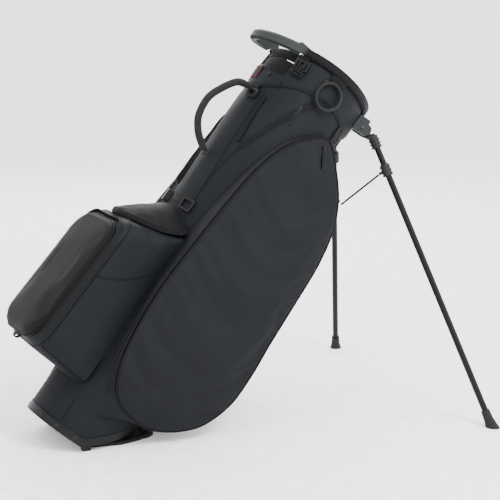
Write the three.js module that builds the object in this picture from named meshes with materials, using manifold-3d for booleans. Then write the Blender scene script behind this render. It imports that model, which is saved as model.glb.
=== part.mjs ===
import * as THREE from 'three';
import { mergeVertices } from 'three/addons/utils/BufferGeometryUtils.js';
import Module from 'manifold-3d';

const wasm = await Module();
wasm.setup();

// Driving dimensions, in millimetres and degrees.
// The bag frame has z up the bag's own axis and x towards the legs.
const LEAN = 38.9;
const FLOOR_TO_BEVEL = 11;
const BASE_R = 97;
const TOP_R = 110;
const TOP_W = 852;
const WALL = 4;
const GAP = 0.35;
const BAND = 16;
const CUFF_BOTTOM = 758;
const FRONT_TOP = 803;
const FRONT_HALF_ANGLE = 36;
const RIM_TALL = 17;
const HINGE_HALF = 71;
const CHANNEL = 92;

// Stand dimensions.
const FOLD = 56.6;
const LEG_PLANE = 26.8;
const LEG_PIVOT = { x: 110, y: 66.4, z: 818 };
const TUBE_OFFSET = 14;
const TUBE_R = 6.35;
const SLEEVE_END = 48;
const TUBE_LENGTH = 584;
const CLAMP_AT = 93;
const STRUT_EYE = { x: 1, z: -97 };
const STRUT_R = 2.2;
const YOKE = { x: 203, y: 9, z: 686 };
const PLATE_HINGE = { x: 3, z: 6.4 };
const ROD_FOOT = 133;
const ROD_FOOT_RISE = 6.5;
const ROD_R = 2.5;
const SIDE_PULL = { x: 38, y: 126.4, z: 722, tilt: 7, swing: 31 };
const STUB = { x: 0, y: 84, long: 16, wide: 13, tall: 15 };

// Ball pocket sections, back to front: depth, half width, low and high edge, lower and upper corner radius.
const BALL_OUTER = [
  [-60, 88, 92, 438, 30, 18],
  [-118, 91, 97, 413, 34, 24],
  [-188, 94, 102, 393, 45, 38],
];
const BALL_FRONT = [94, 112, 376, 52, 53];
const BALL_INNER = [
  [-115, 84, 105, 398, 28, 20],
  [-188, 88, 108, 385, 39, 34],
];
const BALL_MOUTH = [87, 118, 370, 46, 47];
const ZIP_FOOT = -215;
const ZIP_LEAN = 15;
const LID_RINGS = [[0.4, 0], [4, 1], [7.5, 5], [10, 16], [11.5, 40]];
const CORNER_STEPS = 6;

// Accessory pocket sections, front to back: depth, half width, zip height, ridge height.
const ACCESSORY = [
  [-190, 9, 399.5, 409],
  [-184, 30, 399.5, 414],
  [-174, 46, 401, 423],
  [-153, 66, 406, 440],
  [-118, 80, 416, 468],
  [-104, 83.5, 423, 474],
  [-87, 86, 431, 474],
  [-60, 86, 442, 470],
];
const ACCESSORY_LIP = 7;
const ARCH_STEPS = 12;

const rad = THREE.MathUtils.degToRad;
const vec = (x, y, z) => new THREE.Vector3(x, y, z);
const paint = (color, roughness = 0.8, metalness = 0) =>
  new THREE.MeshStandardMaterial({ color, roughness, metalness });

const FABRIC = 0x2a2e36;
const WEBBING = 0x25262a;
const MOULDED = 0x3b4040;
const KNIT = 0x1d1f22;
const GLOSS = 0x0b0b0c;
const STEEL = 0x4a4c4e;

// ---- solids -------------------------------------------------------------

function toSolid(geometry) {
  const bare = geometry.clone();
  bare.deleteAttribute('normal');
  bare.deleteAttribute('uv');
  const merged = mergeVertices(bare, 1e-4);
  return new wasm.Manifold(new wasm.Mesh({
    numProp: 3,
    vertProperties: new Float32Array(merged.attributes.position.array),
    triVerts: new Uint32Array(merged.index.array),
  }));
}

function toGeometry(solid) {
  const { vertProperties, triVerts } = solid.getMesh();
  const geometry = new THREE.BufferGeometry();
  geometry.setAttribute('position', new THREE.BufferAttribute(vertProperties, 3));
  geometry.setIndex(new THREE.BufferAttribute(triVerts, 1));
  return geometry;
}

// A closed solid through equal rings of points; looped rings join end to start.
function loft(rings, looped = false) {
  const count = rings[0].length;
  const points = rings.flat().flatMap((p) => [p.x, p.y, p.z]);
  const faces = [];
  const last = looped ? rings.length : rings.length - 1;
  for (let i = 0; i < last; i += 1) {
    const a = i * count;
    const b = ((i + 1) % rings.length) * count;
    for (let k = 0; k < count; k += 1) {
      const n = (k + 1) % count;
      faces.push(a + k, a + n, b + n, a + k, b + n, b + k);
    }
  }
  if (!looped) {
    for (const [start, flip] of [[0, true], [(rings.length - 1) * count, false]]) {
      const ring = rings[start / count];
      const centre = ring.reduce((sum, p) => sum.add(p), vec(0, 0, 0)).divideScalar(count);
      const c = points.length / 3;
      points.push(centre.x, centre.y, centre.z);
      for (let k = 0; k < count; k += 1) {
        const n = (k + 1) % count;
        faces.push(c, start + (flip ? n : k), start + (flip ? k : n));
      }
    }
  }
  const geometry = new THREE.BufferGeometry();
  geometry.setAttribute('position', new THREE.Float32BufferAttribute(points, 3));
  geometry.setIndex(faces);
  return outward(geometry);
}

function outward(geometry) {
  const p = geometry.attributes.position;
  const index = geometry.index.array;
  let volume = 0;
  for (let i = 0; i < index.length; i += 3) {
    const [a, b, c] = [0, 1, 2].map((k) => vec(0, 0, 0).fromBufferAttribute(p, index[i + k]));
    volume += a.dot(b.cross(c));
  }
  if (volume < 0) {
    for (let i = 0; i < index.length; i += 3) {
      [index[i], index[i + 1]] = [index[i + 1], index[i]];
    }
  }
  return geometry;
}

function box(x, y, z, cx = 0, cy = 0, cz = 0) {
  const geometry = new THREE.BoxGeometry(x, y, z);
  geometry.translate(cx, cy, cz);
  return geometry;
}

// A round bar from one point to another; r2 makes it a cone.
function bar(from, to, r1, r2 = r1, sides = 20) {
  const axis = to.clone().sub(from);
  const geometry = new THREE.CylinderGeometry(r2, r1, axis.length(), sides);
  geometry.applyQuaternion(new THREE.Quaternion().setFromUnitVectors(vec(0, 1, 0), axis.clone().normalize()));
  const middle = from.clone().add(to).multiplyScalar(0.5);
  geometry.translate(middle.x, middle.y, middle.z);
  return geometry;
}

function roundedShape(w, h, r) {
  const s = new THREE.Shape();
  const [x, y] = [w / 2, h / 2];
  s.moveTo(-x + r, -y);
  s.lineTo(x - r, -y);
  s.absarc(x - r, -y + r, r, -Math.PI / 2, 0);
  s.lineTo(x, y - r);
  s.absarc(x - r, y - r, r, 0, Math.PI / 2);
  s.lineTo(-x + r, y);
  s.absarc(-x + r, y - r, r, Math.PI / 2, Math.PI);
  s.lineTo(-x, -y + r);
  s.absarc(-x + r, -y + r, r, Math.PI, Math.PI * 1.5);
  return s;
}

// A flat plate standing on z = 0, with rounded corners and an optional window.
function plate(w, h, thick, r, window = null) {
  const shape = roundedShape(w, h, r);
  if (window) {
    const inner = roundedShape(window.w, window.h, window.r);
    shape.holes.push(new THREE.Path(inner.getPoints(3)));
  }
  return new THREE.ExtrudeGeometry(shape, { depth: thick, bevelEnabled: false, curveSegments: 3 });
}

function sweep(points, section, steps) {
  const path = new THREE.CatmullRomCurve3(points, false, 'centripetal');
  return new THREE.ExtrudeGeometry(section, {
    steps, bevelEnabled: false, extrudePath: path, curveSegments: 3,
  });
}

function circle(r, sides = 10) {
  const s = new THREE.Shape();
  for (let k = 0; k < sides; k += 1) {
    const t = (k / sides) * Math.PI * 2;
    if (k === 0) s.moveTo(r * Math.cos(t), r * Math.sin(t));
    else s.lineTo(r * Math.cos(t), r * Math.sin(t));
  }
  s.closePath();
  return s;
}

function join(...geometries) {
  return toGeometry(geometries.map(toSolid).reduce((a, b) => a.add(b)));
}

function cut(geometry, ...tools) {
  return toGeometry(tools.map(toSolid).reduce((a, b) => a.subtract(b), toSolid(geometry)));
}

function keep(geometry, tool) {
  return toGeometry(toSolid(geometry).intersect(toSolid(tool)));
}

// ---- the scene ----------------------------------------------------------

const group = new THREE.Group();
const bag = new THREE.Group();
bag.rotation.y = rad(LEAN);
bag.position.set(-3.3, 0, 2.7);
group.add(bag);

function put(parent, name, geometry, material) {
  const mesh = new THREE.Mesh(geometry, material);
  mesh.name = name;
  parent.add(mesh);
  return mesh;
}

// The bag's outer radius at a height, and a local frame on that surface: x round it, y up, z out.
const radiusAt = (w) => BASE_R + ((TOP_R - BASE_R) * w) / TOP_W;

function onSurface(angle, w, out = 0) {
  const a = rad(angle);
  const holder = new THREE.Group();
  const r = radiusAt(w) + out;
  holder.position.set(-r * Math.cos(a), -r * Math.sin(a), w);
  const basis = new THREE.Matrix4().makeBasis(
    vec(Math.sin(a), -Math.cos(a), 0), vec(0, 0, 1), vec(-Math.cos(a), -Math.sin(a), 0));
  holder.quaternion.setFromRotationMatrix(basis);
  bag.add(holder);
  return holder;
}

// Everything above a level plane through the leaning bag, as a cutting block in the bag's frame.
function blockBelow(height) {
  const geometry = box(900, 900, 900, 0, 0, height - 450);
  geometry.translate(3.3, 0, -2.7);
  geometry.rotateY(-rad(LEAN));
  return geometry;
}

function cone(extra, from, to, sides = 72) {
  return bar(vec(0, 0, from), vec(0, 0, to), radiusAt(from) + extra, radiusAt(to) + extra, sides);
}

// ---- body panels, base, cuff, dividers ----------------------------------

function buildPanels() {
  const names = ['spine', 'front_right', 'hip_right', 'hip_centre', 'hip_left', 'front_left'];
  names.forEach((label, i) => {
    const middle = i * 60;
    const rings = [];
    const slit = GAP / radiusAt(400);
    for (let k = 0; k <= 8; k += 1) {
      const t = rad(middle - 30) + slit + ((rad(60) - 2 * slit) * k) / 8;
      const at = (r, w) => vec(-r * Math.cos(t), -r * Math.sin(t), w);
      const top = i === 0 ? FRONT_TOP : rimTop(middle - 30 + (60 * k) / 8) - RIM_TALL;
      const low = radiusAt(0);
      const high = radiusAt(top);
      rings.push([at(low - WALL, 0), at(low, 0), at(high, top), at(high - WALL, top)]);
    }
    const solid = cut(loft(rings), blockBelow(FLOOR_TO_BEVEL + BAND + GAP), box(400, 400, 60, 0, 0, BAND + GAP - 30));
    put(bag, `panel_${label}`, solid, paint(FABRIC, 0.85));
  });
}

// A short stub at each end of the hinge line, down to the floor.
function stubFoot(side) {
  const foot = box(STUB.long, STUB.wide, STUB.tall, STUB.x, side * STUB.y, STUB.tall / 2);
  foot.translate(3.3, 0, -2.7);
  foot.rotateY(-rad(LEAN));
  return foot;
}

function buildBase() {
  const outer = cone(1.5, 0, 120);
  const inner = cut(cone(-WALL, 4.5, 130), blockBelow(FLOOR_TO_BEVEL + 5));
  const walls = cut(cut(outer, blockBelow(FLOOR_TO_BEVEL)), inner);
  const above = cut(box(400, 400, 300, 0, 0, BAND + 150), blockBelow(FLOOR_TO_BEVEL + BAND));
  const feet = [-1, 1].map((side) => stubFoot(side));
  put(bag, 'base_cup', join(cut(walls, above), ...feet), paint(MOULDED, 0.6));
}

// The mouth's upper edge dips from the sides down to the legs; the cuff drops low at the front.
function rimTop(angle) {
  const fromFront = Math.abs(angle > 180 ? 360 - angle : angle);
  return TOP_W + 8 + 12 * Math.sin(rad(fromFront)) - 10 * (fromFront / 180);
}

function cuffTop(angle) {
  return Math.abs(angle) < FRONT_HALF_ANGLE ? FRONT_TOP : rimTop(angle) - RIM_TALL;
}

// The fabric-covered collar that stands on the panels' outside.
function buildCuff() {
  const ring = [];
  const stops = [];
  for (let a = -180; a < 180; a += 6) stops.push(a);
  for (const a of stops) {
    const t = rad(a);
    const at = (r, w) => vec(-r * Math.cos(t), -r * Math.sin(t), w);
    const low = radiusAt(CUFF_BOTTOM) + GAP;
    const high = radiusAt(cuffTop(a)) + GAP;
    ring.push([at(low, CUFF_BOTTOM), at(low + 3, CUFF_BOTTOM), at(high + 3, cuffTop(a)), at(high, cuffTop(a))]);
  }
  put(bag, 'cuff', loft(ring, true), paint(FABRIC, 0.8));

  const rim = [];
  for (let a = FRONT_HALF_ANGLE + 8; a <= 360 - FRONT_HALF_ANGLE - 8; a += 8) {
    const t = rad(a);
    const top = rimTop(a);
    const at = (r, w) => vec(-r * Math.cos(t), -r * Math.sin(t), w);
    const [r, low] = [radiusAt(top), top - RIM_TALL + GAP];
    rim.push([at(r - 5, low), at(r + 5, low), at(r + 7, low + 5), at(r + 6, top - 3), at(r + 2, top),
      at(r - 3, top - 1), at(r - 6, top - 6)]);
  }
  put(bag, 'rim_pad', loft(rim), paint(KNIT, 1));
}

const DIVIDER_TOP = 838;
const DIVIDER_THICK = 12;

function buildDividers() {
  const reach = radiusAt(800) - WALL - 1;
  const tall = 42;
  const cross = join(box(2 * reach, DIVIDER_THICK, tall), box(DIVIDER_THICK, 2 * reach, tall));
  cross.translate(0, 0, DIVIDER_TOP - tall / 2);
  const trimmed = keep(cross, cone(-WALL - GAP, 700, 850));
  const front = box(60, 60, 80, -reach - 12, 0, FRONT_TOP + 40);
  put(bag, 'divider_top', cut(trimmed, front), paint(KNIT, 0.95));
  const depth = DIVIDER_TOP - tall - GAP - 60;
  const half = radiusAt(60) - WALL - 8;
  const sheets = join(box(2 * half, 2.4, depth), box(2.4, 2 * half, depth));
  sheets.translate(0, 0, 60 + depth / 2);
  put(bag, 'divider_sheets', cut(sheets, blockBelow(FLOOR_TO_BEVEL + BAND + 8)), paint(KNIT, 0.9));
}

// ---- pockets ------------------------------------------------------------

// Height, front edge, rear edge and outer depth of the large side pocket's sections.
const SIDE_POCKET = [
  [97, 6, 72, 118], [112, -22, 104, 124], [140, -42, 138, 129], [180, -54, 166, 133], [221, -60, 182, 135],
  [290, -70, 179, 138], [360, -74, 175, 139], [450, -70, 172, 139], [530, -60, 168, 137], [600, -46, 154, 134],
  [650, -30, 132, 130], [700, 0, 96, 124], [728, 22, 66, 119],
];

function sideSection([w, front, rear, deep], side) {
  const inner = (u) => Math.max(CHANNEL, 80 + 0.505 * (u - 110));
  const span = rear - front;
  const outline = [
    [front + 2, 58], [front, deep - 34], [front + 4, deep - 16], [front + 14, deep - 6],
    [front + span * 0.3, deep], [front + span * 0.5, deep + 2], [front + span * 0.72, deep],
    [rear - 16, deep - 4], [rear - 4, deep - 9], [rear, inner(rear) + 4],
    [rear - 5, inner(rear)], [Math.min(rear - 8, 110), CHANNEL], [Math.min(rear - 12, 60), CHANNEL - 4],
  ];
  return outline.map(([u, v]) => vec(u, side * v, w));
}

function buildSidePockets() {
  for (const [label, side] of [['right', -1], ['left', 1]]) {
    const rings = SIDE_POCKET.map((section) => sideSection(section, side));
    const solid = cut(loft(rings), cone(GAP, 40, 840));
    put(bag, `side_pocket_${label}`, solid, paint(FABRIC, 0.85));
  }
}

// A pocket outline across the bag: half width, lowest and highest edge, lower and upper corner radius.
function pocketOutline([half, low, high, foot, head], inset = 0) {
  const points = [];
  const [r1, r2] = [foot, head].map((r) => Math.max(r - inset, 8));
  const [y1, y2] = [half - inset - r1, half - inset - r2];
  const [z1, z2] = [low + inset + r1, high - inset - r2];
  for (const [cy, cz, r, from] of [[y1, z1, r1, -90], [y2, z2, r2, 0], [-y2, z2, r2, 90], [-y1, z1, r1, 180]]) {
    for (let k = 0; k <= CORNER_STEPS; k += 1) {
      const t = rad(from + (90 * k) / CORNER_STEPS);
      points.push([cy + r * Math.cos(t), cz + r * Math.sin(t)]);
    }
  }
  return points;
}

// The plane of the ball pocket's zip, which leans in towards the top.
const ballFront = (w) => ZIP_FOOT + (ZIP_LEAN * (w - 96)) / 290;

function buildBallPocket() {
  const ring = (outline, depth) => pocketOutline(outline).map(([y, w]) => vec(depth(w), y, w));
  const walls = loft([
    ...BALL_OUTER.map(([u, ...outline]) => ring(outline, () => u)),
    ring(BALL_FRONT, ballFront),
  ]);
  const hollow = loft([
    ...BALL_INNER.map(([u, ...outline]) => ring(outline, () => u)),
    ring(BALL_MOUTH, (w) => ballFront(w) - 20),
  ]);
  put(bag, 'ball_pocket', cut(walls, cone(GAP, 40, 840), hollow, behindPockets()), paint(FABRIC, 0.85));

  const lidRings = LID_RINGS.map(([out, inset]) =>
    pocketOutline(BALL_FRONT, inset).map(([y, w]) => vec(ballFront(w) - out, y, w)));
  put(bag, 'ball_pocket_lid', loft(lidRings), paint(FABRIC, 0.8));
}

// The accessory pocket is a dome whose zip runs round its lower edge.
function accessorySection([u, half, base, ridge]) {
  const lip = Math.min(ACCESSORY_LIP, (ridge - base) * 0.6);
  const ring = [vec(u, half, base)];
  for (let k = 0; k <= ARCH_STEPS; k += 1) {
    const across = Math.cos((Math.PI * k) / ARCH_STEPS);
    ring.push(vec(u, half * across, base + lip + (ridge - base - lip) * (1 - across * across)));
  }
  ring.push(vec(u, -half, base));
  return ring;
}

function buildAccessoryPocket() {
  const solid = cut(loft(ACCESSORY.map(accessorySection)), cone(GAP, 300, 600), behindPockets());
  put(bag, 'accessory_pocket', solid, paint(FABRIC, 0.85));
}

// The front pockets stop short of the side pockets' front edges.
function behindPockets() {
  return box(200, 400, 600, 100 - 77, 0, 300);
}

// ---- handles, straps and small hardware -----------------------------------

function buildGrabHandle() {
  const line = [[-110, 752], [-137, 742], [-157, 713], [-169, 680], [-164, 643], [-147, 619], [-126, 604],
    [-112, 598]].map(([u, w]) => vec(u, 0, w));
  const strip = sweep(line, circle(7.5, 12), 30);
  put(bag, 'grab_handle', cut(strip, cone(3.6, 500, 850)), paint(0x3a3836, 0.9));
  const anchor = onSurface(0, 596, 0.4);
  put(anchor, 'handle_anchor', plate(34, 12, 3, 2), paint(WEBBING, 0.9));
}

function buildLiftGrip() {
  const rings = [];
  const ends = 68;
  for (let a = -90; a <= 90; a += 7.5) {
    const t = rad(a);
    const [u, v] = [-96 - 62 * Math.cos(t), ends * Math.sin(t)];
    const drop = 14 * Math.cos(t);
    const [nu, nv] = [-Math.cos(t), Math.sin(t)];
    const at = (r, h) => vec(u + nu * r, v + nv * r, 860 - drop + h);
    rings.push([at(-8, -12), at(0, -16), at(7, -12), at(8, 0), at(4, 5), at(-6, 6), at(-9, 1)]);
  }
  const bow = loft(rings);
  const feet = [-1, 1].map((s) => box(26, 12, 15, -93, s * ends, 859));
  put(bag, 'lift_grip', cut(join(bow, ...feet), rimRoom()), paint(0x565c5c, 0.55));
}

function rimRoom() {
  return join(box(60, 300, 80, -48, 0, 862), bar(vec(0, 0, 700), vec(0, 0, FRONT_TOP + 45), 114.6));
}

function buildLabel() {
  put(onSurface(-6, 785, 3.6), 'label_patch', plate(30, 26, 1.6, 3), paint(0x202020, 0.9));
}

function buildRings() {
  const tab = onSurface(83, 844, 3.7);
  put(tab, 'ring_tab', plate(34, 11, 3, 1.5), paint(WEBBING, 0.9));
  const ring = onSurface(82, 808, 9.5);
  const torus = new THREE.TorusGeometry(25, 3.6, 10, 36);
  torus.scale(1, 1.06, 1);
  put(ring, 'towel_ring', torus, paint(MOULDED, 0.5));
  put(onSurface(11, 755.2, 3.9), 'loop_tab', plate(20, 7, 2.6, 1), paint(WEBBING, 0.9));
  put(onSurface(12, 740, 1.2), 'gear_loop', plate(27, 20, 4, 4, { w: 17, h: 9, r: 2 }), paint(MOULDED, 0.5));
}

function buildBuckle() {
  const seat = onSurface(42, 844, 4.2);
  put(seat, 'buckle_webbing', plate(22, 7, 3, 1), paint(WEBBING, 0.9));
  const place = onSurface(45, 828, 4.2);
  const socket = cut(plate(30, 22, 9, 4), box(20, 30, 4, 0, -2, 4.5));
  put(place, 'buckle_socket', socket, paint(MOULDED, 0.5));
  const plug = join(box(19, 22, 3, 0, -4, 4.5), box(26, 9, 8, 0, -16.2, 4.5));
  put(place, 'buckle_plug', plug, paint(MOULDED, 0.5));
}

function buildRivets() {
  const places = [[17, 787, 3.7], [72, 829, 3.7]];
  places.forEach(([angle, w, out], i) => {
    put(onSurface(angle, w, out), `rivet_${i + 1}`, rivetHead(), paint(MOULDED, 0.4));
  });
}

function rivetHead() {
  const dome = new THREE.LatheGeometry([[0, 0], [4, 0], [4, 0.8], [2.8, 1.8], [0, 2.2]]
    .map(([x, y]) => new THREE.Vector2(x, y)), 16);
  dome.rotateX(Math.PI / 2);
  return outward(mergeVertices(bareCopy(dome), 1e-4));
}

function bareCopy(geometry) {
  const copy = geometry.clone();
  copy.deleteAttribute('normal');
  copy.deleteAttribute('uv');
  return copy;
}

// A slider pull hangs on the surface from its top end.
function buildPulls() {
  const pulls = [['upper_pull_right', 67, 757], ['upper_pull_left', -67, 757]];
  for (const [name, angle, w] of pulls) {
    const place = onSurface(angle, w, 1.2);
    const pull = plate(9, 36, 3, 2);
    pull.translate(0, -18, 0);
    put(place, name, pull, paint(MOULDED, 0.7));
  }
  for (const [label, side] of [['right', -1], ['left', 1]]) {
    const holder = new THREE.Group();
    holder.position.set(SIDE_PULL.x, side * SIDE_PULL.y, SIDE_PULL.z);
    holder.rotation.x = rad(side * SIDE_PULL.tilt);
    bag.add(holder);
    const pull = box(9, 3, 36, 0, 0, -18);
    pull.rotateY(-rad(SIDE_PULL.swing));
    put(holder, `side_pull_${label}`, pull, paint(MOULDED, 0.7));
  }
}

// The strap's lower anchors on the spine, and the pad that lies along it on the far side.
function buildSpineHardware() {
  put(onSurface(-18, 488, 0.5), 'spine_clip', plate(18, 26, 12, 3), paint(MOULDED, 0.5));
  const web = onSurface(6, 490, 0.4);
  put(web, 'spine_webbing', plate(36, 18, 2.4, 1), paint(WEBBING, 0.9));
  const ring = onSurface(25, 487, 1.4);
  put(ring, 'spine_slider', plate(32, 26, 4, 4, { w: 22, h: 16, r: 2 }), paint(MOULDED, 0.5));
}

// A curved pad on the shell; twist turns its upper end round the bag, in degrees.
function padStrip(fromAngle, toAngle, low, high, thick, rows, twist = 0) {
  const rings = [];
  for (let k = 0; k <= rows; k += 1) {
    const w = low + ((high - low) * k) / rows;
    const r = radiusAt(w);
    const ring = [];
    const turn = (twist * k) / rows;
    const lift = k === 0 || k === rows ? 0.35 : 1;
    for (let j = 0; j <= 5; j += 1) {
      const t = rad(turn + fromAngle + ((toAngle - fromAngle) * j) / 5);
      const edge = j === 0 || j === 5 ? 0.35 : 1;
      ring.push(vec(-(r + 1 + thick * lift * edge) * Math.cos(t), -(r + 1 + thick * lift * edge) * Math.sin(t), w));
    }
    for (let j = 5; j >= 0; j -= 1) {
      const t = rad(turn + fromAngle + ((toAngle - fromAngle) * j) / 5);
      ring.push(vec(-(r + 0.6) * Math.cos(t), -(r + 0.6) * Math.sin(t), w));
    }
    rings.push(ring);
  }
  return loft(rings);
}

function buildStraps() {
  put(bag, 'strap_pad_front', padStrip(-54, -20, 518, 700, 13, 8, -20), paint(0x2b2724, 1));
  put(bag, 'strap_web_front', padStrip(-36, -28, 500, 517, 3, 2), paint(WEBBING, 0.9));
  put(bag, 'strap_pad_rear', padStrip(176, 204, 560, 740, 10, 7), paint(KNIT, 1));
  put(bag, 'strap_web_rear', padStrip(186, 194, 470, 559, 3, 3), paint(WEBBING, 0.9));
}

// ---- the stand ------------------------------------------------------------

const foldAxis = (side) => vec(-side * Math.sin(rad(LEG_PLANE)), Math.cos(rad(LEG_PLANE)), 0);
const outDir = (side) => vec(Math.cos(rad(LEG_PLANE)), side * Math.sin(rad(LEG_PLANE)), 0);

// A leg is drawn folded, hanging from its pivot along -z, and then swung out. Its own x points
// outwards, its y lies along the hinge pin and z is up.
function legGroup(side) {
  const leg = new THREE.Group();
  leg.position.set(LEG_PIVOT.x, side * LEG_PIVOT.y, LEG_PIVOT.z);
  const basis = new THREE.Matrix4().makeBasis(outDir(side), foldAxis(side), vec(0, 0, 1));
  const swing = new THREE.Matrix4().makeRotationY(-rad(FOLD));
  leg.quaternion.setFromRotationMatrix(basis.multiply(swing));
  bag.add(leg);
  leg.updateMatrixWorld(true);
  return leg;
}

function buildLeg(label, side) {
  const leg = legGroup(side);
  const tubeTop = -SLEEVE_END + 30;
  const tubeEnd = -SLEEVE_END - TUBE_LENGTH;
  const at = (z) => vec(TUBE_OFFSET, 0, z);

  // The elbow runs from the pin eye out to the ribbed sleeve that holds the tube.
  const eye = bar(vec(0, -5, 0), vec(0, 5, 0), 9, 9, 20);
  const arm = loft([[0, 8, 5], [-18, 9, 5], [-22, 9.5, 8], [-26, 10, 9.5]].map(([z, rx, ry], i) =>
    ovalRing((TUBE_OFFSET * i) / 3, z, rx, ry)));
  const sleeve = bar(at(-22), at(-SLEEVE_END), 10, 9);
  const ribs = [-30, -37, -44].map((z) => bar(at(z), at(z - 2.5), 11.5));
  const bore = bar(at(tubeTop - 0.5 + GAP + 0.5), at(-SLEEVE_END - 5), TUBE_R + GAP);
  const pinHole = bar(vec(0, -8, 0), vec(0, 8, 0), 3.4, 3.4, 20);
  put(leg, `leg_elbow_${label}`, cut(join(eye, arm, sleeve, ...ribs), bore, pinHole), paint(MOULDED, 0.5));

  put(leg, `leg_tube_${label}`, bar(at(tubeTop), at(tubeEnd), TUBE_R, TUBE_R, 24), paint(GLOSS, 0.2));

  const collar = bar(at(-CLAMP_AT + 10), at(-CLAMP_AT - 14), 9.6);
  const rings = [6, -2, -10].map((z) => bar(at(-CLAMP_AT + z), at(-CLAMP_AT + z - 2.5), 11.2));
  const lug = bar(at(STRUT_EYE.z), vec(STRUT_EYE.x - 3, 0, STRUT_EYE.z), 3.6, 3.2, 12);
  const through = bar(at(-CLAMP_AT + 20), at(-CLAMP_AT - 30), TUBE_R + GAP);
  put(leg, `leg_clamp_${label}`, cut(join(collar, ...rings, lug), through), paint(MOULDED, 0.5));

  const boot = new THREE.LatheGeometry([[0, 26], [8.6, 26], [9.4, 8], [12, -6], [16, -22], [0, -22]]
    .map(([x, y]) => new THREE.Vector2(x, y)), 20);
  const foot = bareCopy(boot);
  foot.rotateX(Math.PI / 2);
  foot.translate(TUBE_OFFSET, 0, tubeEnd);
  const tubeRoom = bar(at(tubeEnd - GAP), at(tubeEnd + 40), TUBE_R + GAP);
  const shaped = cut(outward(mergeVertices(foot, 1e-4)), tubeRoom, floorInLeg(leg));
  put(leg, `leg_foot_${label}`, shaped, paint(0x2c2f30, 0.85));
}

function ovalRing(x, z, rx, ry) {
  const ring = [];
  for (let k = 0; k < 16; k += 1) {
    const t = (k / 16) * Math.PI * 2;
    ring.push(vec(x + rx * Math.cos(t), ry * Math.sin(t), z));
  }
  return ring;
}

// The floor as a block in a leg's own frame, which trims the sole flat.
function floorInLeg(leg) {
  const floor = box(4000, 4000, 400, 0, 0, -200);
  group.updateMatrixWorld(true);
  floor.applyMatrix4(leg.matrixWorld.clone().invert());
  return floor;
}

function buildBracket(label, side) {
  const holder = new THREE.Group();
  holder.position.set(LEG_PIVOT.x, side * LEG_PIVOT.y, LEG_PIVOT.z);
  holder.quaternion.setFromRotationMatrix(
    new THREE.Matrix4().makeBasis(outDir(side), foldAxis(side), vec(0, 0, 1)));
  bag.add(holder);
  const cheeks = join(box(34, 26, 32, -10, 0, 4), bar(vec(7, -13, 0), vec(7, 13, 0), 12, 12, 20));
  const slot = join(box(60, 10.8, 70, 8, 0, -20), box(30, 10.8, 30, 12, 0, 10));
  const hole = bar(vec(0, -20, 0), vec(0, 20, 0), 3.4, 3.4, 20);
  const body = cut(cheeks, slot, hole);
  holder.updateMatrix();
  const shell = bar(vec(0, 0, 700), vec(0, 0, 900), 113.9, 113.9, 72);
  shell.applyMatrix4(holder.matrix.clone().invert());
  put(holder, `leg_bracket_${label}`, cut(body, shell), paint(0x50565a, 0.5));
  put(holder, `leg_pin_${label}`, bar(vec(0, -15, 0), vec(0, 15, 0), 3, 3, 20), paint(STEEL, 0.4, 0.8));
}

function buildStrut(label, side, leg) {
  const eye = vec(STRUT_EYE.x, 0, STRUT_EYE.z).applyMatrix4(leg.matrix);
  const yoke = vec(YOKE.x, side * YOKE.y, YOKE.z);
  const along = yoke.clone().sub(eye).normalize();
  const rod = bar(eye.clone().addScaledVector(along, 6.5), yoke, STRUT_R, STRUT_R, 12);
  put(bag, `strut_${label}`, rod, paint(STEEL, 0.35, 0.8));
}

function buildStand() {
  for (const [label, side] of [['right', -1], ['left', 1]]) {
    buildBracket(label, side);
    buildLeg(label, side);
    const leg = bag.getObjectByName(`leg_tube_${label}`).parent;
    leg.updateMatrix();
    buildStrut(label, side, leg);
  }
}

// Foot plate, rod and yoke, in the floor's frame.
function buildFootPlate() {
  const outline = new THREE.Shape();
  outline.moveTo(-3, -HINGE_HALF);
  outline.lineTo(20, -HINGE_HALF - 8);
  outline.lineTo(70, -88);
  outline.lineTo(112, -78);
  outline.absarc(118, -42, 32, -Math.PI / 2, -Math.PI / 6);
  outline.lineTo(150, 0);
  outline.absarc(118, 42, 32, Math.PI / 6, Math.PI / 2);
  outline.lineTo(112, 78);
  outline.lineTo(70, 88);
  outline.lineTo(20, HINGE_HALF + 8);
  outline.lineTo(-3, HINGE_HALF);
  outline.closePath();
  const slab = new THREE.ExtrudeGeometry(outline, { depth: 6.4, bevelEnabled: false, curveSegments: 5 });
  put(group, 'foot_plate', slab, paint(MOULDED, 0.7));
  const bumper = (side) => bar(vec(132, side * 42, 6.4 + GAP), vec(132, side * 42, 10.6), 10, 9, 16);
  put(group, 'toe_bumper_right', bumper(-1), paint(0x17181a, 0.9));
  put(group, 'toe_bumper_left', bumper(1), paint(0x17181a, 0.9));
}

function buildRod() {
  const turn = new THREE.Matrix4().copy(bag.matrix);
  const top = vec(YOKE.x - 9, 0, YOKE.z).applyMatrix4(turn);
  const foot = vec(PLATE_HINGE.x + ROD_FOOT, 0, PLATE_HINGE.z + ROD_FOOT_RISE);
  const along = top.clone().sub(foot).normalize();
  const rod = bar(foot.clone().addScaledVector(along, 4), top.clone().addScaledVector(along, -6.5), ROD_R, ROD_R, 12);
  put(group, 'push_rod', rod, paint(STEEL, 0.35, 0.8));
  const block = box(10, 9, 12);
  const holder = new THREE.Group();
  holder.position.copy(top);
  holder.quaternion.setFromUnitVectors(vec(0, 0, 1), along);
  group.add(holder);
  put(holder, 'yoke', block, paint(MOULDED, 0.6));
}

bag.updateMatrix();
group.updateMatrixWorld(true);
buildPanels();
buildBase();
buildCuff();
buildDividers();
buildSidePockets();
buildBallPocket();
buildAccessoryPocket();
buildGrabHandle();
buildLiftGrip();
buildLabel();
buildRings();
buildBuckle();
buildRivets();
buildPulls();
buildSpineHardware();
buildStraps();
buildStand();
buildFootPlate();
buildRod();

export default group;
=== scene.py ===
import math

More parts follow.
